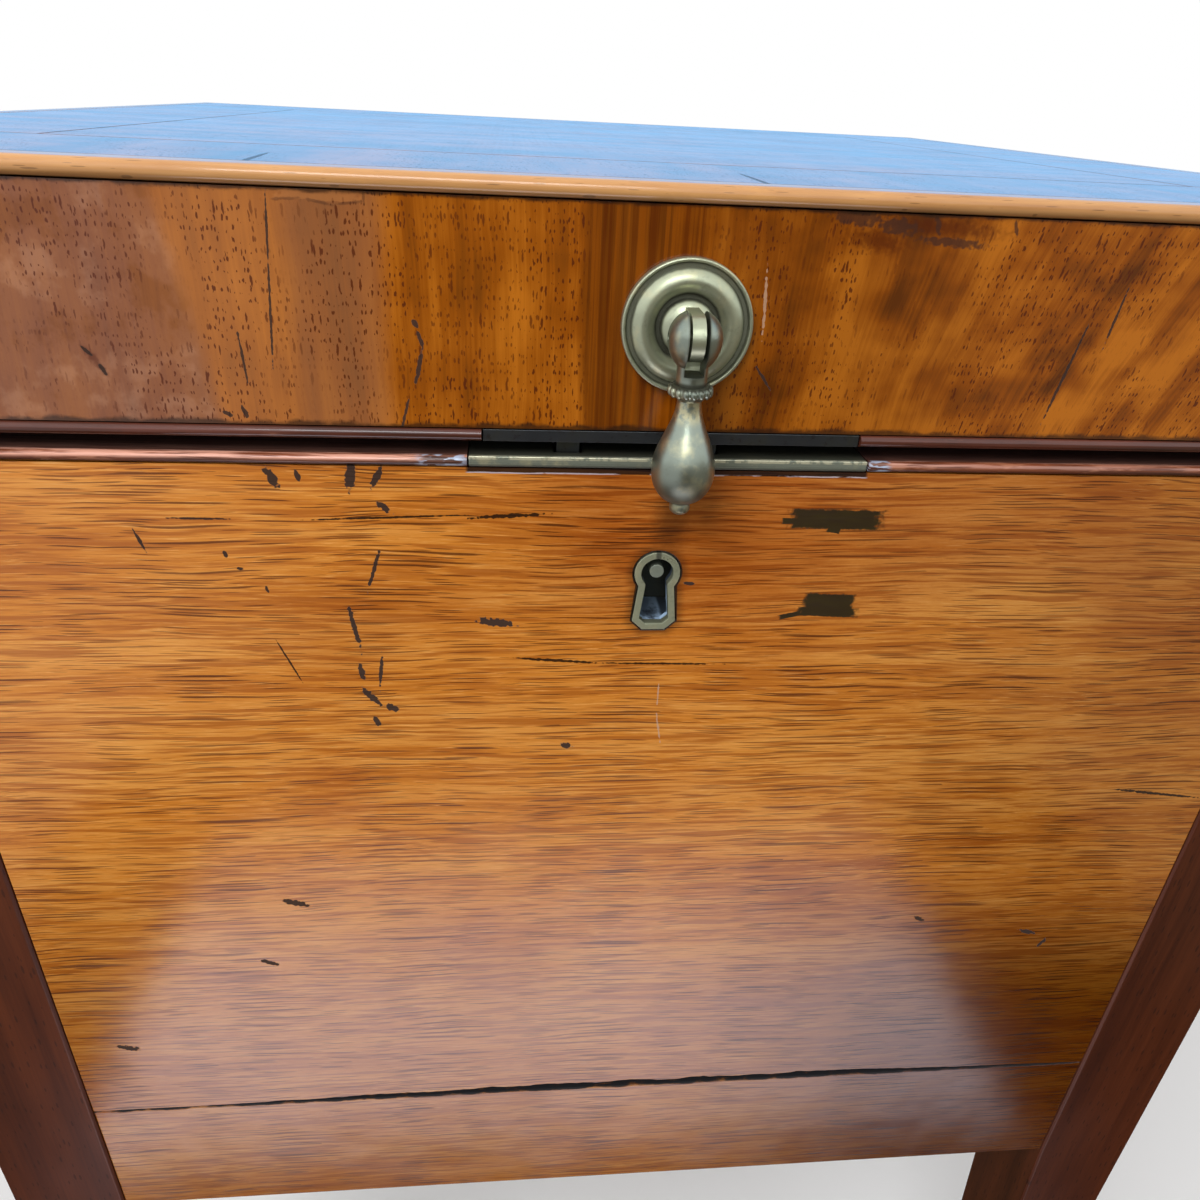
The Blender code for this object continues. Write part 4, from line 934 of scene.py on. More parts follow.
def post_wood():
    """Dark red-brown posts with fine upright grain and rubbed edges that also carry a painted highlight."""
    paint = Paint("post_dark_mahogany")
    colours = finishes()
    place = paint.place()
    stray = paint.shifted(place, (0.03, 0.03, 0.2), (0.004, 0.004, 0.0))
    bands = paint.noise(stray, (0.009, 0.009, 0.16), 4, 0.55)
    hairs = paint.noise(stray, (0.0008, 0.0008, 0.03), 3, 0.6)
    tone = bands * 0.75 + hairs * 0.3
    colour = paint.ramp(tone, [(0.36, colours.post_dark), (0.72, colours.post_light)])
    pores = pore_mask(paint, stray, "z", 0.011, 0.0022, 0.0, 0.2)
    colour = paint.mix(pores * 0.6, colour, colours.post_pore)
    x, y, z = paint.parts(place)
    low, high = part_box("leg_front_left")[0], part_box("leg_back_right")[1]
    # Rubbed front corners: wear, and a painted highlight along the arris
    across = paint.step(abs(x), high.x - 0.0012, high.x - 0.0003)
    half = (high.y - low.y) / 2
    deep = paint.step(abs(y - (low.y + high.y) / 2), half - 0.0012, half - 0.0003)
    chipped = paint.step(paint.noise(place, (0.02, 0.02, 0.03), 4, 0.6), 0.42, 0.62)
    rubbed = across * deep * chipped
    colour = paint.mix(rubbed * 0.7, colour, colours.post_rubbed_highlight)
    foot = 1 - paint.step(z - chipped * 0.012, 0.002, 0.03)
    colour = paint.mix(foot * 0.5, colour, colours.dent)
    sockets = varnished(paint, place, colour, pores, 0.36)
    sockets["Specular IOR Level"] = 0.17
    return paint.finish(sockets)


def bead_wood(name, axis, light, dark, rubbed_to, gloss):
    """A varnished bead with grain along it, darker in patches and rubbed in others."""
    paint = Paint(name)
    colours = finishes()
    place = paint.place()
    bands = paint.noise(place, drawn_out(axis, 0.045, 0.0016), 4, 0.6)
    patches = paint.noise(place, drawn_out(axis, 0.05, 0.02), 4, 0.62)
    colour = paint.ramp(bands * 0.6 + patches * 0.45, [(0.38, dark), (0.60, light)])
    rubbed = paint.step(paint.noise(place, drawn_out(axis, 0.022, 0.006), 4, 0.65), 0.58, 0.70)
    colour = paint.mix(rubbed * 0.55, colour, rubbed_to)
    pores = pore_mask(paint, place, axis, 0.010, 0.0009, -0.12, 0.20)
    colour = paint.mix(pores * 0.4, colour, colours.dent)
    return paint.finish(varnished(paint, place, colour, pores, gloss))


def rim_wood(name, axis):
    """The rim's worn red-brown bead, with painted highlights on chipped varnish beside the lock, a painted
    highlight on its crown, and painted shade on its lower half and on its top face under the lid.
    """
    paint = Paint(name)
    colours = finishes()
    place = paint.place()
    x, y, z = paint.parts(place)
    bands = paint.noise(place, drawn_out(axis, 0.03, 0.0014), 4, 0.62)
    patches = paint.noise(place, drawn_out(axis, 0.04, 0.02), 4, 0.62)
    colour = paint.ramp(bands * 0.6 + patches * 0.45, [(0.40, colours.red_dirt_and_shade), (0.60, colours.red)])
    rubbed = paint.step(paint.noise(place, drawn_out(axis, 0.016, 0.003), 4, 0.65), 0.54, 0.66)
    colour = paint.mix(rubbed * 0.6, colour, colours.red_rubbed)
    low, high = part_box("rim_bead_front_left")
    level = (low.z + high.z) / 2
    # A painted highlight on the bead's crown, fading to the right
    crown_highlight_fade = 1 - paint.step(x, 0.03, 0.09) * 0.6
    crown = paint.step(z, level - 0.0003, high.z - 0.0006) * crown_highlight_fade
    streaks = paint.step(paint.noise(place, drawn_out(axis, 0.02, 0.0008), 3, 0.6), 0.40, 0.58)
    colour = paint.mix(crown * streaks * 0.9, colour, colours.rim_crown_highlight)
    # Painted shade on the bead's lower half
    foot = paint.step(z, level + 0.0003, low.z)
    colour = paint.mix(foot * 0.65, colour, colours.red_dirt_and_shade)
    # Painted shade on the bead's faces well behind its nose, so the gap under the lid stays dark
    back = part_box("rim_bead_left")[1].y
    inwards = (y - low.y).least(back - y).least(-low.x + 0.0002 - abs(x))
    inner = paint.step(inwards, 0.0013, 0.0024)
    colour = paint.mix(inner * 0.9, colour, colours.red_dirt_and_shade)
    chips = paint.noise(place, (0.0045, 0.004, 0.0011), 2, 0.5)
    nose = 1 - paint.step(y, low.y + 0.0012, low.y + 0.0020)
    near = (1 - paint.step(abs(x - (LOCK_LEFT - 0.006)), 0.003, 0.007)).most(
        1 - paint.step(abs(x - (LOCK_RIGHT + 0.0025)), 0.0015, 0.004)
    )
    # Painted highlights on the chipped varnish beside the lock
    chalk = paint.step(chips, 0.47, 0.54) * near * nose
    colour = paint.mix(near * 0.7, colour, colours.red_dirt_and_shade)
    colour = paint.mix(chalk * 0.85, colour, colours.chalk)
    return paint.finish(varnished(paint, place, colour, rubbed * 0.5, 0.22, worn=inner * 0.6))


def pine_wood(name, axis):
    """Plain unpolished softwood with wide grain and dust."""
    paint = Paint(name)
    colours = finishes()
    place = paint.shifted(paint.place(), drawn_out(axis, 0.12, 0.04), drawn_out(axis, 0.0, 0.010))
    rings = paint.noise(place, drawn_out(axis, 0.35, 0.0085), 3, 0.5)
    hairs = paint.noise(place, drawn_out(axis, 0.03, 0.0007), 3, 0.6)
    clouds = paint.noise(place, 0.06, 3)
    tone = rings * 0.72 + hairs * 0.22 + clouds * 0.25
    colour = paint.ramp(tone, [(0.44, colours.pine_dark), (0.72, colours.pine_light)])
    stains = paint.step(paint.noise(place, 0.09, 4, 0.6), 0.56, 0.74)
    colour = paint.mix(stains * 0.4, colour, colours.pine_stain)
    normal = paint.bump(rings * 0.6 + hairs * 0.4, 0.0002)
    roughness = 0.58 + hairs * 0.2
    return paint.finish({"Base Color": colour, "Roughness": roughness, "Normal": normal})


# Metals

def brass(name, grooves=None, rubbed_at=None, gloss=0.36, metallic=0.82, base=None, rubbed_to=None):
    """Patinated brass, dark where its grooves hold dirt and warmer where it is rubbed; the lock's edge, the
    keyhole's ring and the pendant pass painted shade and painted highlights through the same masks.
    """
    paint = Paint(name)
    colours = finishes()
    place = paint.place()
    clouds = paint.noise(place, 0.006, 4, 0.6)
    spots = paint.noise(place, 0.0016, 3, 0.6)
    base = colours.brass if base is None else base
    colour = paint.mix(paint.step(clouds, 0.50, 0.72) * 0.55, base, colours.brass_warm)
    colour = paint.mix(paint.step(spots, 0.55, 0.75) * 0.35, colour, colours.brass_spotted)
    roughness = clouds * 0.16 + (gloss - 0.08)
    if rubbed_at is not None:
        rubbed = rubbed_at(paint, place) * paint.step(spots, 0.35, 0.55)
        colour = paint.mix(rubbed * 0.8, colour, rubbed_to or colours.brass_warm)
    if grooves is not None:
        dirt = grooves(paint, place)
        colour = paint.mix(dirt * 0.9, colour, colours.brass_dark)
        roughness = roughness + dirt * 0.25
    normal = paint.bump(spots * 0.5 + clouds, 0.00006)
    return paint.finish(
        {"Base Color": colour, "Metallic": metallic, "Roughness": roughness, "Normal": normal}
    )


def rosette_grooves(paint, place):
    """Dirt in the rosette's two grooves, by the distance from its middle."""
    middle = (ROSETTE_LOW + ROSETTE_HIGH) / 2
    flat = paint.vector("MULTIPLY", place, (1, 0, 1))
    radius = paint.vector("DISTANCE", flat, (middle.x, 0, middle.z), output=VALUE)
    stray = paint.noise(place, 0.004, 3) * 0.0008 - 0.0004
    radius = radius + stray
    outer = (ROSETTE_HIGH.x - ROSETTE_LOW.x) / 2
    inner_groove = 1 - paint.step(
        abs(radius - (ROSETTE_BOSS_RADIUS + ROSETTE_LIP)), ROSETTE_LIP, ROSETTE_LIP * 2.2
    )
    groove_middle = (ROSETTE_RING_RADIUS + outer - 2 * ROSETTE_LIP) / 2
    outer_groove = 1 - paint.step(abs(radius - groove_middle), 0.0005, 0.0010)
    return inner_groove.most(outer_groove * 0.8)


def pendant_grooves(paint, place):
    """Dirt in the fork, under the collar and under the bulb, and painted shade on the bulb's lower half, by
    the height below the pin.
    """
    x, _, z = paint.parts(place)
    drop = PULL_PIN.z - z
    fork = (1 - paint.step(abs(x - PULL_PIN.x), FORK_SLOT_WIDTH * 0.45, FORK_SLOT_WIDTH * 0.62)) * (
        1 - paint.step(drop, FORK_SLOT_DROP - 0.001, FORK_SLOT_DROP + 0.001)
    )
    collar = 1 - paint.step(abs(drop - COLLAR_TOP), 0.0003, 0.0011)
    under = 1 - paint.step(abs(drop - COLLAR_TOP - COLLAR_HEIGHT), 0.0002, 0.0007)
    finial = 1 - paint.step(abs(drop - FINIAL_NECK_DROP), 0.0003, 0.0009)
    belly_shade = paint.step(drop, FINIAL_NECK_DROP - 0.0085, FINIAL_NECK_DROP - 0.0025)
    return fork.most(collar).most(under * 0.8).most(finial * 0.8).most(belly_shade * 0.6)


def pendant_rubbing_and_highlight(paint, place):
    """Where fingers rub the pendant, and a painted highlight: below the collar and at the finial."""
    drop = PULL_PIN.z - paint.parts(place)[2]
    neck = 1 - paint.step(abs(drop - DROP_NECK_DROP - 0.002), 0.0008, 0.0036)
    finial = paint.step(drop, FINIAL_NECK_DROP, FINIAL_NECK_DROP + 0.001)
    return neck.most(finial)


def selvage_dirt_and_shade(paint, place):
    """Painted shade on the lock's edge behind its front arris, under the lid, and dirt with painted shade
    low on its front, along the wood below it.
    """
    low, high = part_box("lock_plate")
    _, y, z = paint.parts(place)
    behind = paint.step(y, low.y + 0.0006, low.y + 0.0014)
    foot = paint.step(z, high.z - 0.0014, high.z - 0.0024)
    return behind.most(foot)


def selvage_highlight(paint, place):
    """A painted highlight along the front arris of the lock's edge, drawn as rubbed brass."""
    low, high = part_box("lock_plate")
    _, y, z = paint.parts(place)
    return paint.step(z, high.z - 0.0009, high.z - 0.0006) * (
        1 - paint.step(y, low.y + 0.0006, low.y + 0.0010)
    )


def escutcheon_joint_and_shade(paint, place):
    """The dark joint at the top of the keyhole's ring, and painted shade on its faces set back more than a
    millimetre from its front.
    """
    low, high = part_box("keyhole_escutcheon")
    x, y, z = paint.parts(place)
    joint = (1 - paint.step(abs(x - (low.x + high.x) / 2), 0.0004, 0.0010)) * paint.step(
        z, high.z - 0.0022, high.z - 0.0016
    )
    inside = paint.step(y, low.y + 0.0004, low.y + 0.0010)
    return joint.most(inside * 0.6)


def keyhole_sheen(paint, place):
    """A pale-blue painted reflection on the lock behind the lower half of the keyhole, drawn as dust."""
    x, _, z = paint.parts(place)
    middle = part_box("keyhole_escutcheon")[1].z - KEYHOLE_HEAD
    below = paint.step(z, middle - 0.0035, middle - 0.0080)
    streaks = paint.noise(place, (0.0022, 0.004, 0.005), 3, 0.6)
    inside = paint.step(from_keyhole(paint, x, z), 0.0, -0.0008)
    return below * inside * paint.step(streaks, 0.30, 0.60)


def dull_metal(name, base, tarnish, metallic, gloss, sheen_at=None):
    """Dull metal with cloudy tarnish, and a pale painted reflection where it has one."""
    paint = Paint(name)
    place = paint.place()
    clouds = paint.noise(place, 0.010, 5, 0.62)
    spots = paint.noise(place, 0.0018, 3, 0.6)
    colour = paint.mix(paint.step(clouds, 0.44, 0.70) * 0.7, base, tarnish)
    colour = paint.mix(paint.step(spots, 0.56, 0.74) * 0.5, colour, finishes().dent)
    roughness = clouds * 0.25 + gloss
    if sheen_at is not None:
        # The painted reflection, drawn as pale dust
        dust = sheen_at(paint, place)
        colour = paint.mix(dust * 0.9, colour, finishes().dust)
        metallic = metallic - dust * metallic
        roughness = roughness + dust * 0.4
    normal = paint.bump(spots, 0.00006)
    return paint.finish(
        {"Base Color": colour, "Metallic": metallic, "Roughness": roughness, "Normal": normal}
    )


# Pieces

def linked(name, data):
    """A new object in the scene."""
    thing = bpy.data.objects.new(name, data)
    bpy.context.scene.collection.objects.link(thing)
    return thing


def new_piece(name, mesh, material):
    """An object at the origin with one material."""
    mesh.name = name
    mesh.materials.clear()
    mesh.materials.append(material)
    return linked(name, mesh)


def mesh_from(bm, name):
    """The bmesh as a mesh; the bmesh itself goes."""
    mesh = bpy.data.meshes.new(name)
    bm.to_mesh(mesh)
    bm.free()
    return mesh


def quad(name, corners):
    mesh = bpy.data.meshes.new(name)
    mesh.from_pydata(corners, [], [(0, 1, 2, 3)])
    return mesh


def stand_for(piece, node):
    """The piece rides where its node does, and is shown for it."""
    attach(piece, NODES[node]["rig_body"])
    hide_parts(node)
    return piece


def evaluated_mesh(piece):
    """The piece's mesh with its modifiers worked in; the piece itself goes."""
    depsgraph = bpy.context.evaluated_depsgraph_get()
    mesh = bpy.data.meshes.new_from_object(piece.evaluated_get(depsgraph))
    bpy.data.objects.remove(piece)
    return mesh


def merged_copy(node):
    """A node's shape as one mesh of whole flat faces."""
    bm = bmesh.new()
    bm.from_mesh(NODES[node].data)
    bmesh.ops.remove_doubles(bm, verts=bm.verts, dist=WELD)
    bmesh.ops.dissolve_limit(bm, angle_limit=FLAT, verts=bm.verts, edges=bm.edges)
    mesh = mesh_from(bm, node)
    if "custom_normal" in mesh.attributes:
        mesh.attributes.remove(mesh.attributes["custom_normal"])
    return mesh


def eased(node, material, round_over, cutters=()):
    """The node's own shape with its edges rounded over and cuts made, as a piece that stands for it."""
    mesh = merged_copy(node)
    mesh.shade_smooth()
    piece = new_piece(f"{node}_eased", mesh, material)
    bevel = piece.modifiers.new("Rounded edges", "BEVEL")
    bevel.width = round_over
    bevel.segments = EDGE_STEPS
    bevel.limit_method = "ANGLE"
    bevel.angle_limit = CREASE
    bevel.harden_normals = True
    shaped = evaluated_mesh(piece)
    if cutters:
        shaped = shaded_again(cut_by(shaped, cutters), material)
    return stand_for(new_piece(f"{node}_finished", shaped, material), node)


def shaded_again(mesh, material):
    """A cut mesh with its flat faces shaded flat and its new edges crisp."""
    if "custom_normal" in mesh.attributes:
        mesh.attributes.remove(mesh.attributes["custom_normal"])
    mesh.shade_smooth()
    mesh.set_sharp_from_angle(angle=CREASE)
    piece = new_piece("work", mesh, material)
    weighted = piece.modifiers.new("Flat faces", "WEIGHTED_NORMAL")
    weighted.keep_sharp = True
    return evaluated_mesh(piece)


def kept(node, material):
    """A node whose own shape is right, with a better material."""
    for slot in NODES[node].material_slots:
        slot.material = material


def arc(centre, radii, start, end, steps=ARC_STEPS):
    """Points on an ellipse between two angles in degrees."""
    points = []
    for i in range(steps + 1):
        angle = math.radians(start + (end - start) * i / steps)
        points.append((centre[0] + radii[0] * math.cos(angle), centre[1] + radii[1] * math.sin(angle)))
    return points


def bezier(a, b, c, d, steps=ARC_STEPS):
    points = []
    for i in range(steps + 1):
        t = i / steps
        u = 1 - t
        points.append(tuple(
            u ** 3 * p + 3 * u * u * t * q + 3 * u * t * t * r + t ** 3 * s
            for p, q, r, s in zip(a, b, c, d)
        ))
    return points


def mesh_of(bm, name):
    """A finished mesh from a bmesh: whole, facing outwards, smooth but for its creases."""
    bmesh.ops.remove_doubles(bm, verts=bm.verts, dist=WELD)
    bmesh.ops.recalc_face_normals(bm, faces=bm.faces)
    mesh = mesh_from(bm, name)
    mesh.shade_smooth()
    mesh.set_sharp_from_angle(angle=CREASE)
    return mesh


def turned(name, profile, closed):
    """A section of (radius, height) turned about the z axis."""
    bm = bmesh.new()
    rings = []
    for i in range(TURN_STEPS):
        angle = 2 * math.pi * i / TURN_STEPS
        rings.append([
            bm.verts.new((r * math.cos(angle), r * math.sin(angle), z)) for r, z in profile
        ])
    count = len(profile)
    for i, ring in enumerate(rings):
        following = rings[(i + 1) % TURN_STEPS]
        for j in range(count if closed else count - 1):
            k = (j + 1) % count
            corners = [ring[j], following[j], following[k], ring[k]]
            if (corners[0].co - corners[1].co).length < WELD:
                corners.pop(1)
            if (corners[-1].co - corners[-2].co).length < WELD:
                corners.pop()
            if len(corners) > 2:
                bm.faces.new(corners)
    return mesh_of(bm, name)


def lofted(name, rings):
    """A closed mesh through rings of as many points each."""
    bm = bmesh.new()
    rings = [[bm.verts.new(point) for point in ring] for ring in rings]
    for first, second in zip(rings, rings[1:]):
        for j in range(len(first)):
            k = (j + 1) % len(first)
            bm.faces.new((first[j], first[k], second[k], second[j]))
    bm.faces.new(rings[0])
    bm.faces.new(list(reversed(rings[-1])))
    return mesh_of(bm, name)


def nosed_bead(node, material, side, mitred):
    """A bead with a half-round nose along one side, from the node's own box.

    Its ends are mitred or square, and its nose strays a little, as hand-worked beads do.
    """
    low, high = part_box(node)
    height = high.z - low.z
    radius = height / 2
    along_x = side in ("front", "back")
    outwards = -1 if side in ("front", "left") else 1
    run_low, run_high = (low.x, high.x) if along_x else (low.y, high.y)
    edge_low, edge_high = (low.y, high.y) if along_x else (low.x, high.x)
    width = edge_high - edge_low
    outer = edge_low if outwards < 0 else edge_high

    section = [(width, 0.0), (width, height)]
    section += arc((radius, radius), (radius, radius), 90, 270, NOSE_STEPS)
    stations = max(2, round((run_high - run_low) / STATION))
    wander = sizes().bead_wander
    rings = []
    for i in range(stations + 1):
        share = i / stations
        ring = []
        for inwards, rise in section:
            start = run_low + (inwards if mitred[0] else 0)
            end = run_high - (inwards if mitred[1] else 0)
            run = start + (end - start) * share
            sample = Vector((run, outer, low.z)) * Vector(WANDER_WAVES)
            on_nose = max(0.0, 1 - inwards / radius) if inwards < radius else 0.0
            stray = noise.noise(sample) * wander * on_nose
            flat = noise.noise(sample * FINE_WAVES) * wander * FINE_WANDER * on_nose
            edge = outer - outwards * (inwards + abs(stray) + abs(flat))
            place = (run, edge, low.z + rise) if along_x else (edge, run, low.z + rise)
            ring.append(place)
        rings.append(ring)
    piece = new_piece(f"{node}_finished", lofted(node, rings), material)
    return stand_for(piece, node)


def cut_by(mesh, cutters):
    """The mesh with each cutter's volume taken away."""
    piece = linked("work", mesh)
    tools = []
    for cutter in cutters:
        tool = linked("cutter", cutter)
        boolean = piece.modifiers.new("Cut", "BOOLEAN")
        boolean.operation = "DIFFERENCE"
        boolean.solver = "EXACT"
        boolean.object = tool
        tools.append(tool)
    shaped = evaluated_mesh(piece)
    for tool in tools:
        bpy.data.objects.remove(tool)
    return shaped


def box_mesh(low, high):
    bm = bmesh.new()
    bmesh.ops.create_cube(bm, size=1)
    low, high = Vector(low), Vector(high)
    bmesh.ops.scale(bm, vec=high - low, verts=bm.verts)
    bmesh.ops.translate(bm, vec=(low + high) / 2, verts=bm.verts)
    return mesh_from(bm, "box")


def rod_mesh(radius, length_along_x):
    bm = bmesh.new()
    bmesh.ops.create_cone(
        bm, cap_ends=True, segments=ARC_STEPS, radius1=radius, radius2=radius, depth=length_along_x,
        matrix=Matrix.Rotation(math.pi / 2, 4, "Y"),
    )
    return mesh_from(bm, "rod")


def drill_mesh(place, radius, depth):
    """An upright round cutter about a place."""
    bm = bmesh.new()
    bmesh.ops.create_cone(
        bm, cap_ends=True, segments=2 * ARC_STEPS, radius1=radius, radius2=radius, depth=2 * depth,
        matrix=Matrix.Translation(place),
    )
    return mesh_from(bm, "drill")


def crack_mesh():
    """A ragged wedge along the panel's foot, widest near its middle and closed at both ends."""
    count = round((CRACK_RIGHT - CRACK_LEFT) / CRACK_STATION)
    front, back = PANEL_FACE - OVERSHOOT, PANEL_FACE + CRACK_DEPTH
    low = PANEL_FOOT - OVERSHOOT
    rings = []
    for i in range(count + 1):
        x = CRACK_LEFT + (CRACK_RIGHT - CRACK_LEFT) * i / count
        closing = min(1.0, max(0.0, (abs(x - CRACK_MIDDLE) - CRACK_WIDEST) / CRACK_TAPER))
        long, short, behind = (
            noise.noise((x * waves, row, 0)) * swing
            for waves, row, swing in zip(CRACK_WAVES, CRACK_ROWS, CRACK_SWING)
        )
        rise = CRACK_RISE * (1 - closing * CRACK_CLOSED) * (1 + long + short)
        head = PANEL_FOOT + rise * CRACK_LIFT
        ring = [(front, low), (front, head), (back, PANEL_FOOT + rise * (CRACK_BACK + behind)), (back, low)]
        rings.append([(x, y, z) for y, z in ring])
    return lofted("crack", rings)


# Small fasteners and the collar's gadroons, by Geometry Nodes

class Tree:
    """A Geometry Nodes group with named inputs."""

    def __init__(self, name):
        self.group = bpy.data.node_groups.new(name, "GeometryNodeTree")
        self.group.interface.new_socket("Geometry", in_out="OUTPUT", socket_type="NodeSocketGeometry")
        self.sockets = {}
        self.entry = None

    def takes(self, **kinds):
        """Adds inputs; an underscore in a name stands for a space."""
        for key, kind in kinds.items():
            name = key.replace("_", " ")
            self.sockets[name] = self.group.interface.new_socket(
                name, in_out="INPUT", socket_type=f"NodeSocket{kind}"
            )

    def given(self, name):
        if self.entry is None:
            self.entry = self.group.nodes.new("NodeGroupInput")
        return self.entry.outputs[name]

    def node(self, kind, settings=None, inputs=None):
        node = self.group.nodes.new(kind)
        for name, value in (settings or {}).items():
            setattr(node, name, value)
        for key, value in (inputs or {}).items():
            if isinstance(value, bpy.types.NodeSocket):
                self.group.links.new(value, node.inputs[key])
            else:
                node.inputs[key].default_value = value
        return node

    def ends_in(self, geometry, material):
        """Realized, with its material set."""
        real = self.node("GeometryNodeRealizeInstances", inputs={"Geometry": geometry})
        set_to = self.node(
            "GeometryNodeSetMaterial", inputs={"Geometry": real.outputs[0], "Material": material}
        )
        self.node("NodeGroupOutput", inputs={"Geometry": set_to.outputs[0]})

    def made(self, name, points, values):
        """A plain mesh from the tree, with its inputs at these values."""
        base = bpy.data.meshes.new(name)
        base.from_pydata([tuple(point) for point in points], [], [])
        piece = linked(name, base)
        modifier = piece.modifiers.new(name, "NODES")
        modifier.node_group = self.group
        for key, value in values.items():
            modifier[self.sockets[key].identifier] = value
        return evaluated_mesh(piece)


def heads_tree(name, slotted):
    """Screw or nail heads on points, all facing one way, each turned by chance."""
    tree = Tree(name)
    tree.takes(
        Geometry="Geometry", Head_Radius="Float", Head_Height="Float", Slot_Width="Float",
        Facing="Vector", Seed="Int", Material="Material",
    )
    shoulder = tree.node(
        "ShaderNodeMath", {"operation": "MULTIPLY"}, {0: tree.given("Head Radius"), 1: HEAD_SHOULDER}
    )
    head = tree.node("GeometryNodeMeshCone", inputs={
        "Vertices": HEAD_STEPS,
        "Radius Top": shoulder.outputs[0],
        "Radius Bottom": tree.given("Head Radius"),
        "Depth": tree.given("Head Height"),
    }).outputs["Mesh"]
    if slotted:
        long = tree.node(
            "ShaderNodeMath", {"operation": "MULTIPLY"}, {0: tree.given("Head Radius"), 1: SLOT_REACH}
        )
        size = tree.node("ShaderNodeCombineXYZ", inputs={
            "X": long.outputs[0], "Y": tree.given("Slot Width"), "Z": tree.given("Head Height"),
        })
        bar = tree.node("GeometryNodeMeshCube", inputs={"Size": size.outputs[0]})
        rise = tree.node("ShaderNodeCombineXYZ", inputs={"Z": tree.given("Head Height")})
        raised = tree.node("GeometryNodeTransform", inputs={
            "Geometry": bar.outputs["Mesh"], "Translation": rise.outputs[0],
        })
        cut = tree.node("GeometryNodeMeshBoolean", {"operation": "DIFFERENCE"})
        tree.group.links.new(head, cut.inputs["Mesh 1"])
        tree.group.links.new(raised.outputs[0], cut.inputs["Mesh 2"])
        head = cut.outputs["Mesh"]
    upright = tree.node(
        "FunctionNodeAlignRotationToVector", {"axis": "Z"}, {"Vector": tree.given("Facing")}
    )
    chance = tree.node("FunctionNodeRandomValue", {"data_type": "FLOAT"}, {
        "Seed": tree.given("Seed"),
    })
    chance.inputs[3].default_value = math.pi
    spin = tree.node("ShaderNodeCombineXYZ", inputs={"Z": chance.outputs[1]})
    turn = tree.node("FunctionNodeEulerToRotation", inputs={0: spin.outputs[0]})
    both = tree.node("FunctionNodeRotateRotation", {"rotation_space": "LOCAL"}, {
        0: upright.outputs[0], 1: turn.outputs[0],
    })
    heads = tree.node("GeometryNodeInstanceOnPoints", inputs={
        "Points": tree.given("Geometry"), "Instance": head, "Rotation": both.outputs[0],
    })
    tree.ends_in(heads.outputs[0], tree.given("Material"))
    return tree


def gadroon_tree():
    """A ring of leaning gadroons about a place."""
    tree = Tree("Gadroon ring")
    tree.takes(
        Count="Int", Ring_Radius="Float", Gadroon_Width="Float", Gadroon_Length="Float",
        Lean="Float", Place="Vector", Material="Material",
    )
    ring = tree.node("GeometryNodeMeshCircle", inputs={
        "Vertices": tree.given("Count"), "Radius": tree.given("Ring Radius"),
    })
    drop = tree.node("GeometryNodeMeshUVSphere", inputs={
        "Segments": GADROON_SEGMENTS, "Rings": GADROON_RINGS, "Radius": 0.5,
    })
    soft = tree.node("GeometryNodeSetShadeSmooth", inputs={"Geometry": drop.outputs["Mesh"]})
    here = tree.node("GeometryNodeInputPosition")
    outwards = tree.node(
        "FunctionNodeAlignRotationToVector", {"axis": "X"}, {"Vector": here.outputs[0]}
    )
    tilt = tree.node("ShaderNodeCombineXYZ", inputs={"X": tree.given("Lean")})
    lean = tree.node("FunctionNodeEulerToRotation", inputs={0: tilt.outputs[0]})
    both = tree.node("FunctionNodeRotateRotation", {"rotation_space": "LOCAL"}, {
        0: outwards.outputs[0], 1: lean.outputs[0],
    })
    scale = tree.node("ShaderNodeCombineXYZ", inputs={
        "X": tree.given("Gadroon Width"), "Y": tree.given("Gadroon Width"),
        "Z": tree.given("Gadroon Length"),
    })
    placed = tree.node("GeometryNodeInstanceOnPoints", inputs={
        "Points": ring.outputs["Mesh"], "Instance": soft.outputs[0],
        "Rotation": both.outputs[0], "Scale": scale.outputs[0],
    })
    moved = tree.node("GeometryNodeTransform", inputs={
        "Geometry": placed.outputs[0], "Translation": tree.given("Place"),
    })
    tree.ends_in(moved.outputs[0], tree.given("Material"))
    return tree


def hinge_screw_places(side, body):
    """Middles of the three screws of a leaf, on the face that it shows when the lid is up."""
    low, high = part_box(f"hinge_{side}_{body}_leaf")
    pin_low, pin_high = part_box(f"hinge_{side}_pin")
    level = (pin_low.z + pin_high.z) / 2
    across = (low.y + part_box("back_panel")[1].y) / 2
    gap = (high.x - low.x) / 3
    middle = (low.x + high.x) / 2
    return [Vector((middle + i * gap, across, level)) for i in (-1, 0, 1)]


# Operators

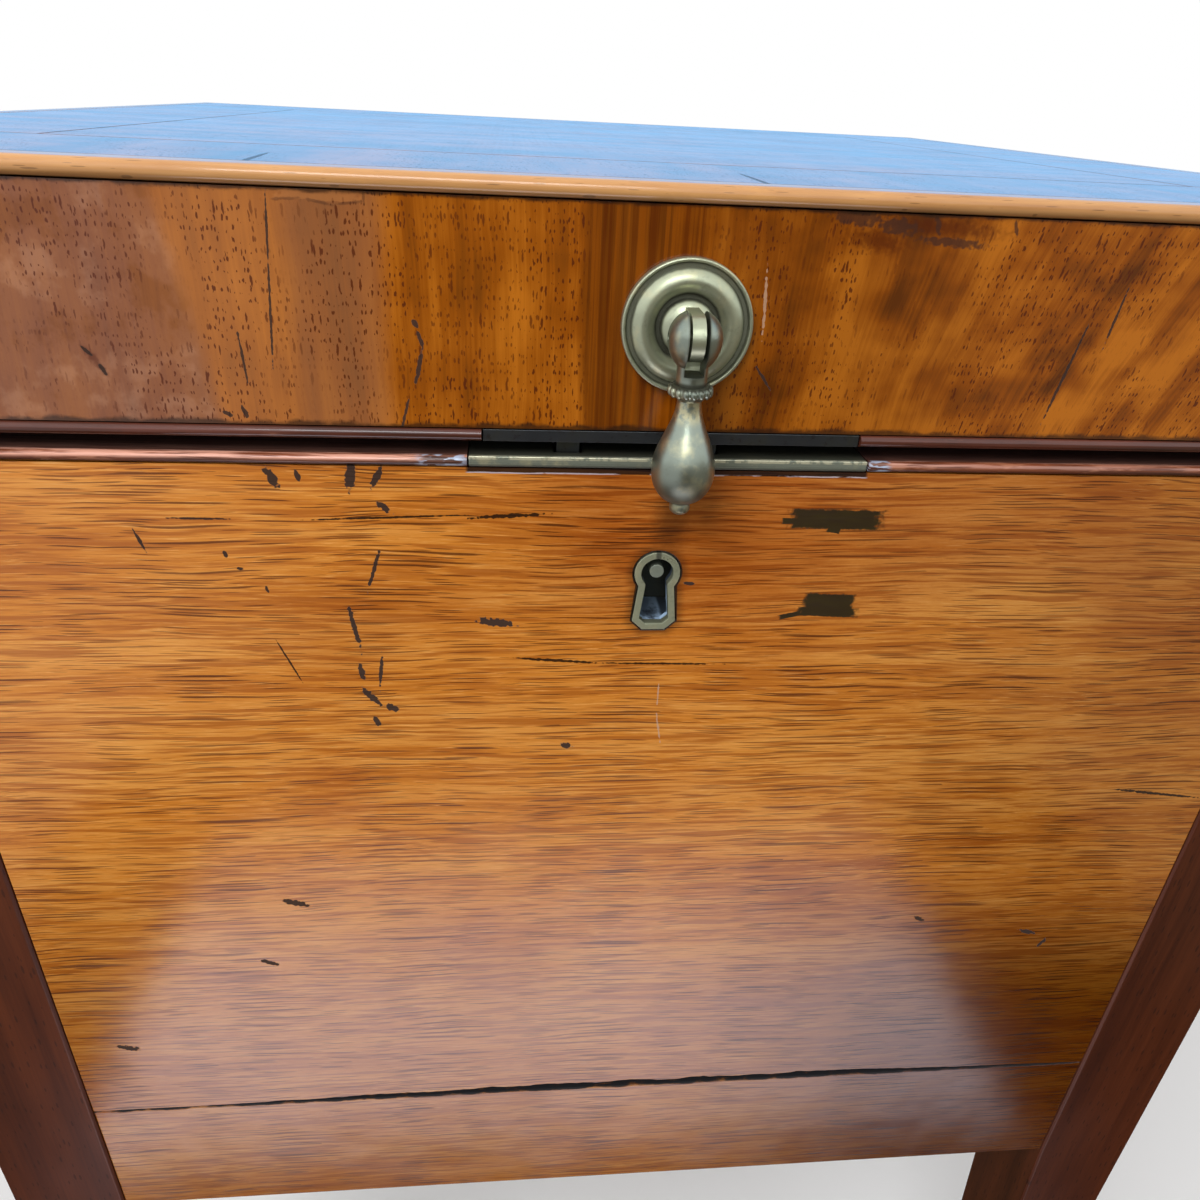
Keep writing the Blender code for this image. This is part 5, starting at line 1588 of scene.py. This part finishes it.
class CELLARETTE_OT_stage(bpy.types.Operator):
    """Floor, soft light, what the varnish mirrors, and the camera"""

    bl_idname = "cellarette.stage"
    bl_label = "Stage and camera"

    def execute(self, context):
        scene = context.scene
        stage = scene.cellarette_stage
        scene.view_settings.view_transform = "Standard"
        self.make_floor(stage)
        self.make_world(scene, stage)
        self.make_lights(stage)
        self.make_glare(stage)
        self.make_camera(scene)
        return {"FINISHED"}

    def make_floor(self, stage):
        half = FLOOR_HALF
        mesh = quad("floor", [(-half, -half, 0), (half, -half, 0), (half, half, 0), (-half, half, 0)])
        paint = Paint("pale_floor")
        place = paint.place()
        cloud = paint.noise(place, 0.6, 2)
        colour = paint.mix(cloud * 0.06, stage.floor, (0.8, 0.8, 0.8))
        away = paint.length(place)
        glow = paint.mix(paint.step(away, 0.7, 3.5), (0, 0, 0), (0.55, 0.55, 0.55))
        floor = new_piece("floor", mesh, paint.finish({
            "Base Color": colour, "Roughness": 0.9, "Specular IOR Level": 0.0,
            "Emission Color": glow, "Emission Strength": 1.0,
        }))
        floor.visible_glossy = False
        floor.visible_diffuse = False

    def make_world(self, scene, stage):
        """White to the eye, even daylight on the part, and a sky for its mirrors."""
        scene.world = bpy.data.worlds.new("daylight")
        paint = Paint("daylight", scene.world)
        x, y, z = paint.parts(paint.node("ShaderNodeTexCoord", output="Generated"))
        sky = paint.mix(paint.step(y, -0.2, 0.5), SKY_BEHIND_EYE, [
            stage.sky_strength * part for part in stage.sky
        ])
        sky = paint.mix(paint.step(z, 0.45, 0.9), sky, SKY_ABOVE)
        ground = paint.mix(paint.step(x, -0.12, -0.45), GROUND_DARK, GROUND_LEFT)
        ground = paint.mix(paint.step(x, 0.25, 0.55), ground, GROUND_RIGHT)
        ground = paint.mix(paint.step(z, -0.50, -0.80), ground, GROUND_DARK)
        horizon = paint.step(z - paint.step(y, 0.0, -0.5) * 0.16, -0.03, 0.01)
        mirrored = paint.mix(horizon, ground, sky)
        path = paint.node("ShaderNodeLightPath")
        glossy = path.other("Is Glossy Ray")
        above, below = [stage.daylight] * 3, [stage.daylight * 0.4] * 3
        daylight = paint.mix(paint.step(z, -0.15, 0.15), below, above)
        lit = paint.mix(glossy, daylight, mirrored)
        shown = paint.mix(path, lit, (1, 1, 1))
        light = paint.node("ShaderNodeBackground", inputs={"Color": shown})
        paint.node("ShaderNodeOutputWorld", inputs={"Surface": light})

    def make_lights(self, stage):
        """Lamps turned to their targets, that neither the eye nor a mirror sees."""
        for name, (size, place, target) in LAMPS.items():
            data = bpy.data.lights.new(name, "AREA")
            data.shape = "DISK"
            data.size = size
            data.energy = stage.key_power
            lamp = linked(name, data)
            lamp.location = place
            lamp.rotation_mode = "QUATERNION"
            lamp.rotation_quaternion = (Vector(target) - Vector(place)).to_track_quat("-Z", "Y")
            lamp.visible_glossy = False
            lamp.visible_camera = False

    def make_glare(self, stage):
        """Cards that only mirrors see: the bright floor before the panel, and a window."""
        paint = Paint("bright_floor")
        x, y, _ = paint.parts(paint.place())
        fade = paint.step(y, LID_FACE - 0.62, LID_FACE - 0.30)
        fade = fade * (1 - paint.step(y, LID_FACE - 0.32, LID_FACE - 0.22) * 0.28)
        fade = fade * (1 - paint.step(y, LID_FACE - 0.225, LID_FACE - 0.19))
        side = paint.step(x, -0.36, -0.335) * (1 - paint.step(x, 0.335, 0.372))
        side = side * (1.08 - paint.step(x, 0.05, 0.30) * 0.30)
        corners = [
            (GLARE_LEFT, GLARE_FAR, GLARE_HEIGHT), (GLARE_RIGHT, GLARE_FAR, GLARE_HEIGHT),
            (GLARE_RIGHT, GLARE_NEAR, GLARE_HEIGHT), (GLARE_LEFT, GLARE_NEAR, GLARE_HEIGHT),
        ]
        self.card("bright_floor", corners, paint, GLARE_COLOUR, fade * side * stage.haze)
        self.card("window", WINDOW_CORNERS, Paint("window"), WINDOW_COLOUR, stage.window)

    def card(self, name, corners, paint, colour, brightness):
        shine = paint.node("ShaderNodeEmission", inputs={"Color": opaque(colour), "Strength": brightness})
        paint.node("ShaderNodeOutputMaterial", inputs={"Surface": shine})
        card = new_piece(name, quad(name, corners), paint.material)
        for ray in ("camera", "diffuse", "shadow", "transmission"):
            setattr(card, f"visible_{ray}", False)

    def make_camera(self, scene):
        data = bpy.data.cameras.new("eye")
        data.sensor_fit = "HORIZONTAL"
        data.sensor_width = SENSOR
        data.lens = EYE_FOCUS / PICTURE * SENSOR
        data.clip_start = 0.01
        camera = linked("eye", data)
        place, right, up, ahead = eye_frame()
        turn = Matrix((right, up, -ahead)).transposed().to_4x4()
        camera.matrix_world = Matrix.Translation(place) @ turn
        scene.camera = camera


class CELLARETTE_OT_case_boards(bpy.types.Operator):
    """Panels and rails between the posts"""

    bl_idname = "cellarette.case_boards"
    bl_label = "Panels and rails"

    def execute(self, context):
        round_over = sizes().edge_round
        side_wood = panel_wood("side_panel_mahogany", "y")
        pine = pine_wood("back_board_pine", "x")
        front_wood = panel_wood("front_panel_mahogany", "x", front=True)
        eased("front_panel", front_wood, round_over, cutters=[crack_mesh()])
        eased("front_rail", rail_wood(), round_over)
        for node in ("left_panel", "left_rail", "right_panel", "right_rail"):
            eased(node, side_wood, round_over)
        for node in ("back_panel", "back_rail"):
            eased(node, pine, round_over)
        return {"FINISHED"}


class CELLARETTE_OT_posts(bpy.types.Operator):
    """Four dark posts with their tapered legs"""

    bl_idname = "cellarette.posts"
    bl_label = "Posts"

    def execute(self, context):
        wood = post_wood()
        for corner in ("front_left", "front_right", "back_left", "back_right"):
            eased(f"leg_{corner}", wood, sizes().arris_round)
        return {"FINISHED"}


class CELLARETTE_OT_inside(bpy.types.Operator):
    """Bottom board, its cleats and the bottle dividers"""

    bl_idname = "cellarette.inside"
    bl_label = "Inside boards"

    def execute(self, context):
        along_x = pine_wood("inside_pine_along_x", "x")
        along_y = pine_wood("inside_pine_along_y", "y")
        eased("bottom_board", along_x, sizes().edge_round)
        for node in ("bottom_cleat_left", "bottom_cleat_right"):
            eased(node, along_y, sizes().edge_round)
        for number in ("1", "2"):
            eased(f"divider_along_x_{number}", along_x, sizes().edge_round)
            eased(f"divider_along_y_{number}", along_y, sizes().edge_round)
        return {"FINISHED"}


class CELLARETTE_OT_rim(bpy.types.Operator):
    """Worn beads on the case's rim"""

    bl_idname = "cellarette.rim"
    bl_label = "Rim beads"

    def execute(self, context):
        front = rim_wood("rim_bead_front_mahogany", "x")
        side = rim_wood("rim_bead_side_mahogany", "y")
        nosed_bead("rim_bead_front_left", front, "front", (True, False))
        nosed_bead("rim_bead_front_right", front, "front", (False, True))
        nosed_bead("rim_bead_left", side, "left", (True, False))
        nosed_bead("rim_bead_right", side, "right", (True, False))
        return {"FINISHED"}


class CELLARETTE_OT_lid_box(bpy.types.Operator):
    """The lid's sides, its board and the veneers of its top"""

    bl_idname = "cellarette.lid_box"
    bl_label = "Lid box"

    def execute(self, context):
        round_over = sizes().edge_round * 0.5
        upright = veneer("lid_side_veneer", "z", 0.2)
        eased("lid_front", lid_front_wood(), round_over)
        eased("lid_left", upright, round_over)
        eased("lid_right", upright, round_over)
        eased("lid_back", pine_wood("lid_back_pine", "x"), round_over)
        kept("lid_top_board", pine_wood("lid_board_pine", "x"))
        thin = sizes().veneer_round
        for node, axis, marks in (
            ("lid_field_veneer", "x", FIELD_SHAKES),
            ("crossband_front", "y", BAND_JOINTS),
            ("crossband_back", "y", None),
            ("crossband_left", "x", None),
            ("crossband_right", "x", None),
        ):
            eased(node, top_veneer(node, axis, marks), thin)
        return {"FINISHED"}


class CELLARETTE_OT_lid_beads(bpy.types.Operator):
    """Honey-coloured bead round the top and red-brown bead round the lid's lower edge"""

    bl_idname = "cellarette.lid_beads"
    bl_label = "Lid beads"

    def execute(self, context):
        colours = finishes()
        rubbed = colours.honey_rubbed
        for side, axis in (("front", "x"), ("back", "x"), ("left", "y"), ("right", "y")):
            wood = bead_wood(
                f"top_bead_{side}_wood", axis, colours.honey, colours.honey_dark, rubbed, 0.14
            )
            nosed_bead(f"top_bead_{side}", wood, side, (True, True))
        rubbed = colours.low_bead_rubbed
        front = bead_wood("lid_bead_front_wood", "x", colours.low_bead, colours.red_dirt_and_shade, rubbed, 0.12)
        side = bead_wood("lid_bead_side_wood", "y", colours.low_bead, colours.red_dirt_and_shade, rubbed, 0.12)
        nosed_bead("lid_bead_front_left", front, "front", (True, False))
        nosed_bead("lid_bead_front_right", front, "front", (False, True))
        nosed_bead("lid_bead_left", side, "left", (True, True))
        nosed_bead("lid_bead_right", side, "right", (True, True))
        return {"FINISHED"}


class CELLARETTE_OT_lock(bpy.types.Operator):
    """Lock plate, box, bolt, keyhole and link plate"""

    bl_idname = "cellarette.lock"
    bl_label = "Lock"

    def execute(self, context):
        colours = finishes()
        round_over = sizes().metal_round
        iron = dull_metal("lock_iron", colours.iron, colours.rust, 0.8, 0.35)
        eased("lock_plate", brass(
            "lock_plate_brass", selvage_dirt_and_shade, selvage_highlight, 0.22, 0.5,
            colours.brass_dull, colours.brass_arris_highlight,
        ), 3 * round_over)
        eased("keyhole_escutcheon", brass(
            "escutcheon_brass", escutcheon_joint_and_shade, gloss=0.30, metallic=0.6
        ), 2.2 * round_over)
        dark = dull_metal("link_plate_brass", colours.plate, colours.brass_dark, 0.9, 0.3)
        eased("link_plate", dark, round_over)
        eased("lock_bolt", iron, round_over)
        eased("key_pin", brass("key_pin_brass", metallic=0.5, base=colours.brass_dull), round_over)
        # The box's blue-grey tint and the pale patch behind the keyhole are painted reflections
        kept("lock_box", dull_metal(
            "lock_box_iron", colours.lock_box, colours.iron, 0.6, 0.3, keyhole_sheen
        ))
        kept("bolt_spring", iron)
        return {"FINISHED"}


class CELLARETTE_OT_hinges(bpy.types.Operator):
    """Two butt hinges"""

    bl_idname = "cellarette.hinges"
    bl_label = "Hinges"

    def execute(self, context):
        metal = brass("hinge_brass", gloss=0.42, metallic=0.75, base=finishes().hinge)
        radius = sizes().screw_radius + SINK_ROOM
        for side in ("left", "right"):
            for body in ("lid", "case"):
                sinks = [
                    drill_mesh(place, radius, SINK_DEPTH) for place in hinge_screw_places(side, body)
                ]
                eased(f"hinge_{side}_{body}_leaf", metal, sizes().metal_round, cutters=sinks)
            kept(f"hinge_{side}_pin", metal)
        return {"FINISHED"}


class CELLARETTE_OT_pull(bpy.types.Operator):
    """Turned rosette, forked pendant with its gadrooned collar, and the post that holds it"""

    bl_idname = "cellarette.pull"
    bl_label = "Drop pull"

    def execute(self, context):
        metal = brass("pull_brass")
        eased("pull_post", metal, sizes().metal_round)
        eased("pull_pin", metal, sizes().metal_round)
        kept("pull_nut", dull_metal("nut_iron", finishes().iron, finishes().rust, 0.8, 0.4))
        self.make_rosette()
        self.make_pendant()
        return {"FINISHED"}

    def make_rosette(self):
        radius = (ROSETTE_HIGH.x - ROSETTE_LOW.x) / 2
        height = ROSETTE_HIGH.y - ROSETTE_LOW.y
        groove = ROSETTE_RIM_HEIGHT - ROSETTE_GROOVE
        lip, step = ROSETTE_LIP, ROSETTE_STEP
        ring_inner = ROSETTE_BOSS_RADIUS + 2 * lip
        ring_middle = (ROSETTE_RING_RADIUS + ring_inner) / 2
        ring_half = (ROSETTE_RING_RADIUS - ring_inner) / 2
        ring_rise = ROSETTE_RING_HEIGHT - ROSETTE_RIM_HEIGHT
        boss_start = math.degrees(math.acos(ROSETTE_BORE / ROSETTE_BOSS_RADIUS))
        boss_rise = (height - ROSETTE_RIM_HEIGHT) / math.sin(math.radians(boss_start))
        profile = arc((0, ROSETTE_RIM_HEIGHT), (ROSETTE_BOSS_RADIUS, boss_rise), boss_start, 0)
        profile += [(ROSETTE_BOSS_RADIUS, groove), (ring_inner, groove)]
        for i in range(ARC_STEPS + 1):
            share = 2 * i / ARC_STEPS - 1
            rise = ROSETTE_RIM_HEIGHT - ROSETTE_STEP + ring_rise * (1 - share * share)
            profile.append((ring_middle + ring_half * share, rise))
        profile += [
            (ROSETTE_RING_RADIUS, groove + step),
            (ROSETTE_RING_RADIUS + step, groove),
            (radius - 2.4 * lip, groove),
        ]
        profile += arc((radius - lip, ROSETTE_RIM_HEIGHT - lip), (lip, lip), 150, 0, LIP_STEPS)
        profile += [(radius, 0), (ROSETTE_BORE, 0)]
        mesh = turned("pull_rosette", profile, True)
        middle = (ROSETTE_LOW + ROSETTE_HIGH) / 2
        mesh.transform(Matrix.Rotation(math.pi / 2, 4, "X"))
        mesh.transform(Matrix.Translation((middle.x, ROSETTE_HIGH.y, middle.z)))
        metal = brass("rosette_brass", rosette_grooves)
        stand_for(new_piece("pull_rosette_finished", mesh, metal), "pull_rosette")

    def make_pendant(self):
        neck_angle = math.degrees(math.acos(NECK_RADIUS / HEAD_RADIUS))
        profile = arc((0, 0), (HEAD_RADIUS, HEAD_RADIUS), 90, 0)
        profile += arc((0, 0), (HEAD_RADIUS, HEAD_RADIUS * HEAD_STRETCH), 0, -neck_angle)[1:]
        collar_middle = -COLLAR_TOP - COLLAR_HEIGHT / 2
        collar_depth = COLLAR_RADIUS - NECK_RADIUS
        profile += arc((NECK_RADIUS, collar_middle), (collar_depth, COLLAR_HEIGHT / 2), 90, -90)
        fall = BULB_DROP - DROP_NECK_DROP
        profile += bezier(
            (DROP_NECK_RADIUS, -DROP_NECK_DROP),
            (DROP_NECK_RADIUS, -DROP_NECK_DROP - fall * SLENDER),
            (BULB_RADIUS, -DROP_NECK_DROP - fall * FULL),
            (BULB_RADIUS, -BULB_DROP),
        )
        bowl = (BULB_RADIUS - FINIAL_NECK_RADIUS, FINIAL_NECK_DROP - BULB_DROP)
        profile += arc((FINIAL_NECK_RADIUS, -BULB_DROP), bowl, 0, -90)[1:]
        finial_middle = -FINIAL_NECK_DROP - FINIAL_HEIGHT / 2
        tilt = math.acos(FINIAL_NECK_RADIUS / FINIAL_RADIUS)
        shoulder = FINIAL_HEIGHT / 2 / math.sin(tilt)
        profile += arc((0, finial_middle), (FINIAL_RADIUS, shoulder), math.degrees(tilt), 0, LIP_STEPS)[1:]
        profile += arc((0, finial_middle), (FINIAL_RADIUS, FINIAL_HEIGHT / 2), 0, -90, LIP_STEPS)[1:]
        mesh = turned("pull_pendant", profile, False)
        reach = HEAD_RADIUS + OVERSHOOT
        half = FORK_SLOT_WIDTH / 2
        slot = box_mesh((-half, -reach, -FORK_SLOT_DROP), (half, reach, reach))
        mesh = cut_by(mesh, [slot, rod_mesh(PIN_BORE, 2 * reach)])
        mesh.set_sharp_from_angle(angle=CREASE)
        mesh.transform(Matrix.Translation(PULL_PIN))
        metal = brass(
            "pendant_brass", pendant_grooves, pendant_rubbing_and_highlight, 0.31, 0.92, finishes().brass_dull
        )
        stand_for(new_piece("pull_pendant_finished", mesh, metal), "pull_pendant")

        tree = gadroon_tree()
        mesh = tree.made("collar_gadroons", [], {
            "Count": sizes().gadroon_count,
            "Ring Radius": COLLAR_RADIUS - GADROON_SUNK,
            "Gadroon Width": sizes().gadroon_width,
            "Gadroon Length": sizes().gadroon_length,
            "Lean": GADROON_LEAN,
            "Place": (PULL_PIN.x, PULL_PIN.y, PULL_PIN.z + collar_middle),
            "Material": metal,
        })
        ring = new_piece("pull_collar_gadroons", mesh, metal)
        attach(ring, "pendant")


class CELLARETTE_OT_fasteners(bpy.types.Operator):
    """Screws of the hinges, lock and link plate, and nails of the cleats"""

    bl_idname = "cellarette.fasteners"
    bl_label = "Screws and nails"

    def execute(self, context):
        screws = heads_tree("Screw heads", True)
        nails = heads_tree("Nail heads", False)
        metal = brass("screw_brass")
        iron = dull_metal("nail_iron", finishes().iron, finishes().rust, 0.8, 0.45)
        small = sizes().screw_radius
        seed = 1
        for side in ("left", "right"):
            for body, facing in (("lid", -1), ("case", 1)):
                sunk = Vector((0, 0, facing)) * (SINK_DEPTH - SINK_ROOM)
                points = [place - sunk for place in hinge_screw_places(side, body)]
                self.add(
                    f"hinge_{side}_{body}_screws", screws, points, (0, 0, facing), small, metal,
                    body, "old_brass", seed,
                )
                seed += 1
        low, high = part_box("lock_plate")
        inset = SCREW_INSET
        points = [
            (x, high.y, z)
            for x in (low.x + inset, high.x - inset)
            for z in (low.z + inset, high.z - 2 * inset)
        ]
        self.add(
            "lock_plate_screws", screws, points, (0, 1, 0), small * SMALL_SCREW, metal,
            "case", "old_brass", seed,
        )
        low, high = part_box("link_plate")
        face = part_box("lid_bead_front_left")[0].z
        depth = (low.y + high.y) / 2
        points = [(low.x + inset, depth, face), (high.x - inset, depth, face)]
        self.add(
            "link_plate_screws", screws, points, (0, 0, -1), small * SMALL_SCREW, metal,
            "lid", "old_brass", seed + 1,
        )
        points = []
        for side in ("left", "right"):
            low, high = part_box(f"bottom_cleat_{side}")
            middle = (low + high) / 2
            for share in NAIL_SHARES:
                points.append((middle.x, low.y + (high.y - low.y) * share, low.z))
        self.add(
            "cleat_nails", nails, points, (0, 0, -1), sizes().nail_radius, iron,
            "case", "iron", seed + 2,
        )
        return {"FINISHED"}

    def add(self, name, tree, points, facing, radius, metal, body, slot, seed):
        mesh = tree.made(name, points, {
            "Head Radius": radius,
            "Head Height": sizes().screw_height,
            "Slot Width": sizes().slot_width,
            "Facing": facing,
            "Seed": seed,
            "Material": metal,
        })
        piece = new_piece(name, mesh, metal)
        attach(piece, body)


class CELLARETTE_PT_dressing(bpy.types.Panel):
    """The cellarette's operators, sizes and colours"""

    bl_idname = "CELLARETTE_PT_dressing"
    bl_label = "Cellarette"
    bl_space_type = "VIEW_3D"
    bl_region_type = "UI"
    bl_category = "Cellarette"

    def draw(self, context):
        for operator in OPERATORS:
            self.layout.operator(operator.bl_idname)
        for group in GROUPS:
            settings = getattr(context.scene, group)
            box = self.layout.box()
            for name in settings.__annotations__:
                box.prop(settings, name, text=name.replace("_", " ").capitalize())


GROUPS = {
    "cellarette_sizes": CellaretteSizes,
    "cellarette_finishes": CellaretteFinishes,
    "cellarette_stage": CellaretteStage,
}
OPERATORS = (
    CELLARETTE_OT_stage,
    CELLARETTE_OT_case_boards,
    CELLARETTE_OT_posts,
    CELLARETTE_OT_inside,
    CELLARETTE_OT_rim,
    CELLARETTE_OT_lid_box,
    CELLARETTE_OT_lid_beads,
    CELLARETTE_OT_lock,
    CELLARETTE_OT_hinges,
    CELLARETTE_OT_pull,
    CELLARETTE_OT_fasteners,
)
CLASSES = (*GROUPS.values(), *OPERATORS, CELLARETTE_PT_dressing)


def register():
    for cls in CLASSES:
        bpy.utils.register_class(cls)
    for name, group in GROUPS.items():
        setattr(bpy.types.Scene, name, bpy.props.PointerProperty(type=group))


def unregister():
    for name in GROUPS:
        delattr(bpy.types.Scene, name)
    for cls in reversed(CLASSES):
        bpy.utils.unregister_class(cls)


def main():
    register()
    bpy.ops.cellarette.stage()
    bpy.ops.cellarette.case_boards()
    bpy.ops.cellarette.posts()
    bpy.ops.cellarette.inside()
    bpy.ops.cellarette.rim()
    bpy.ops.cellarette.lid_box()
    bpy.ops.cellarette.lid_beads()
    bpy.ops.cellarette.lock()
    bpy.ops.cellarette.hinges()
    bpy.ops.cellarette.pull()
    bpy.ops.cellarette.fasteners()


if __name__ == "__main__":
    main()
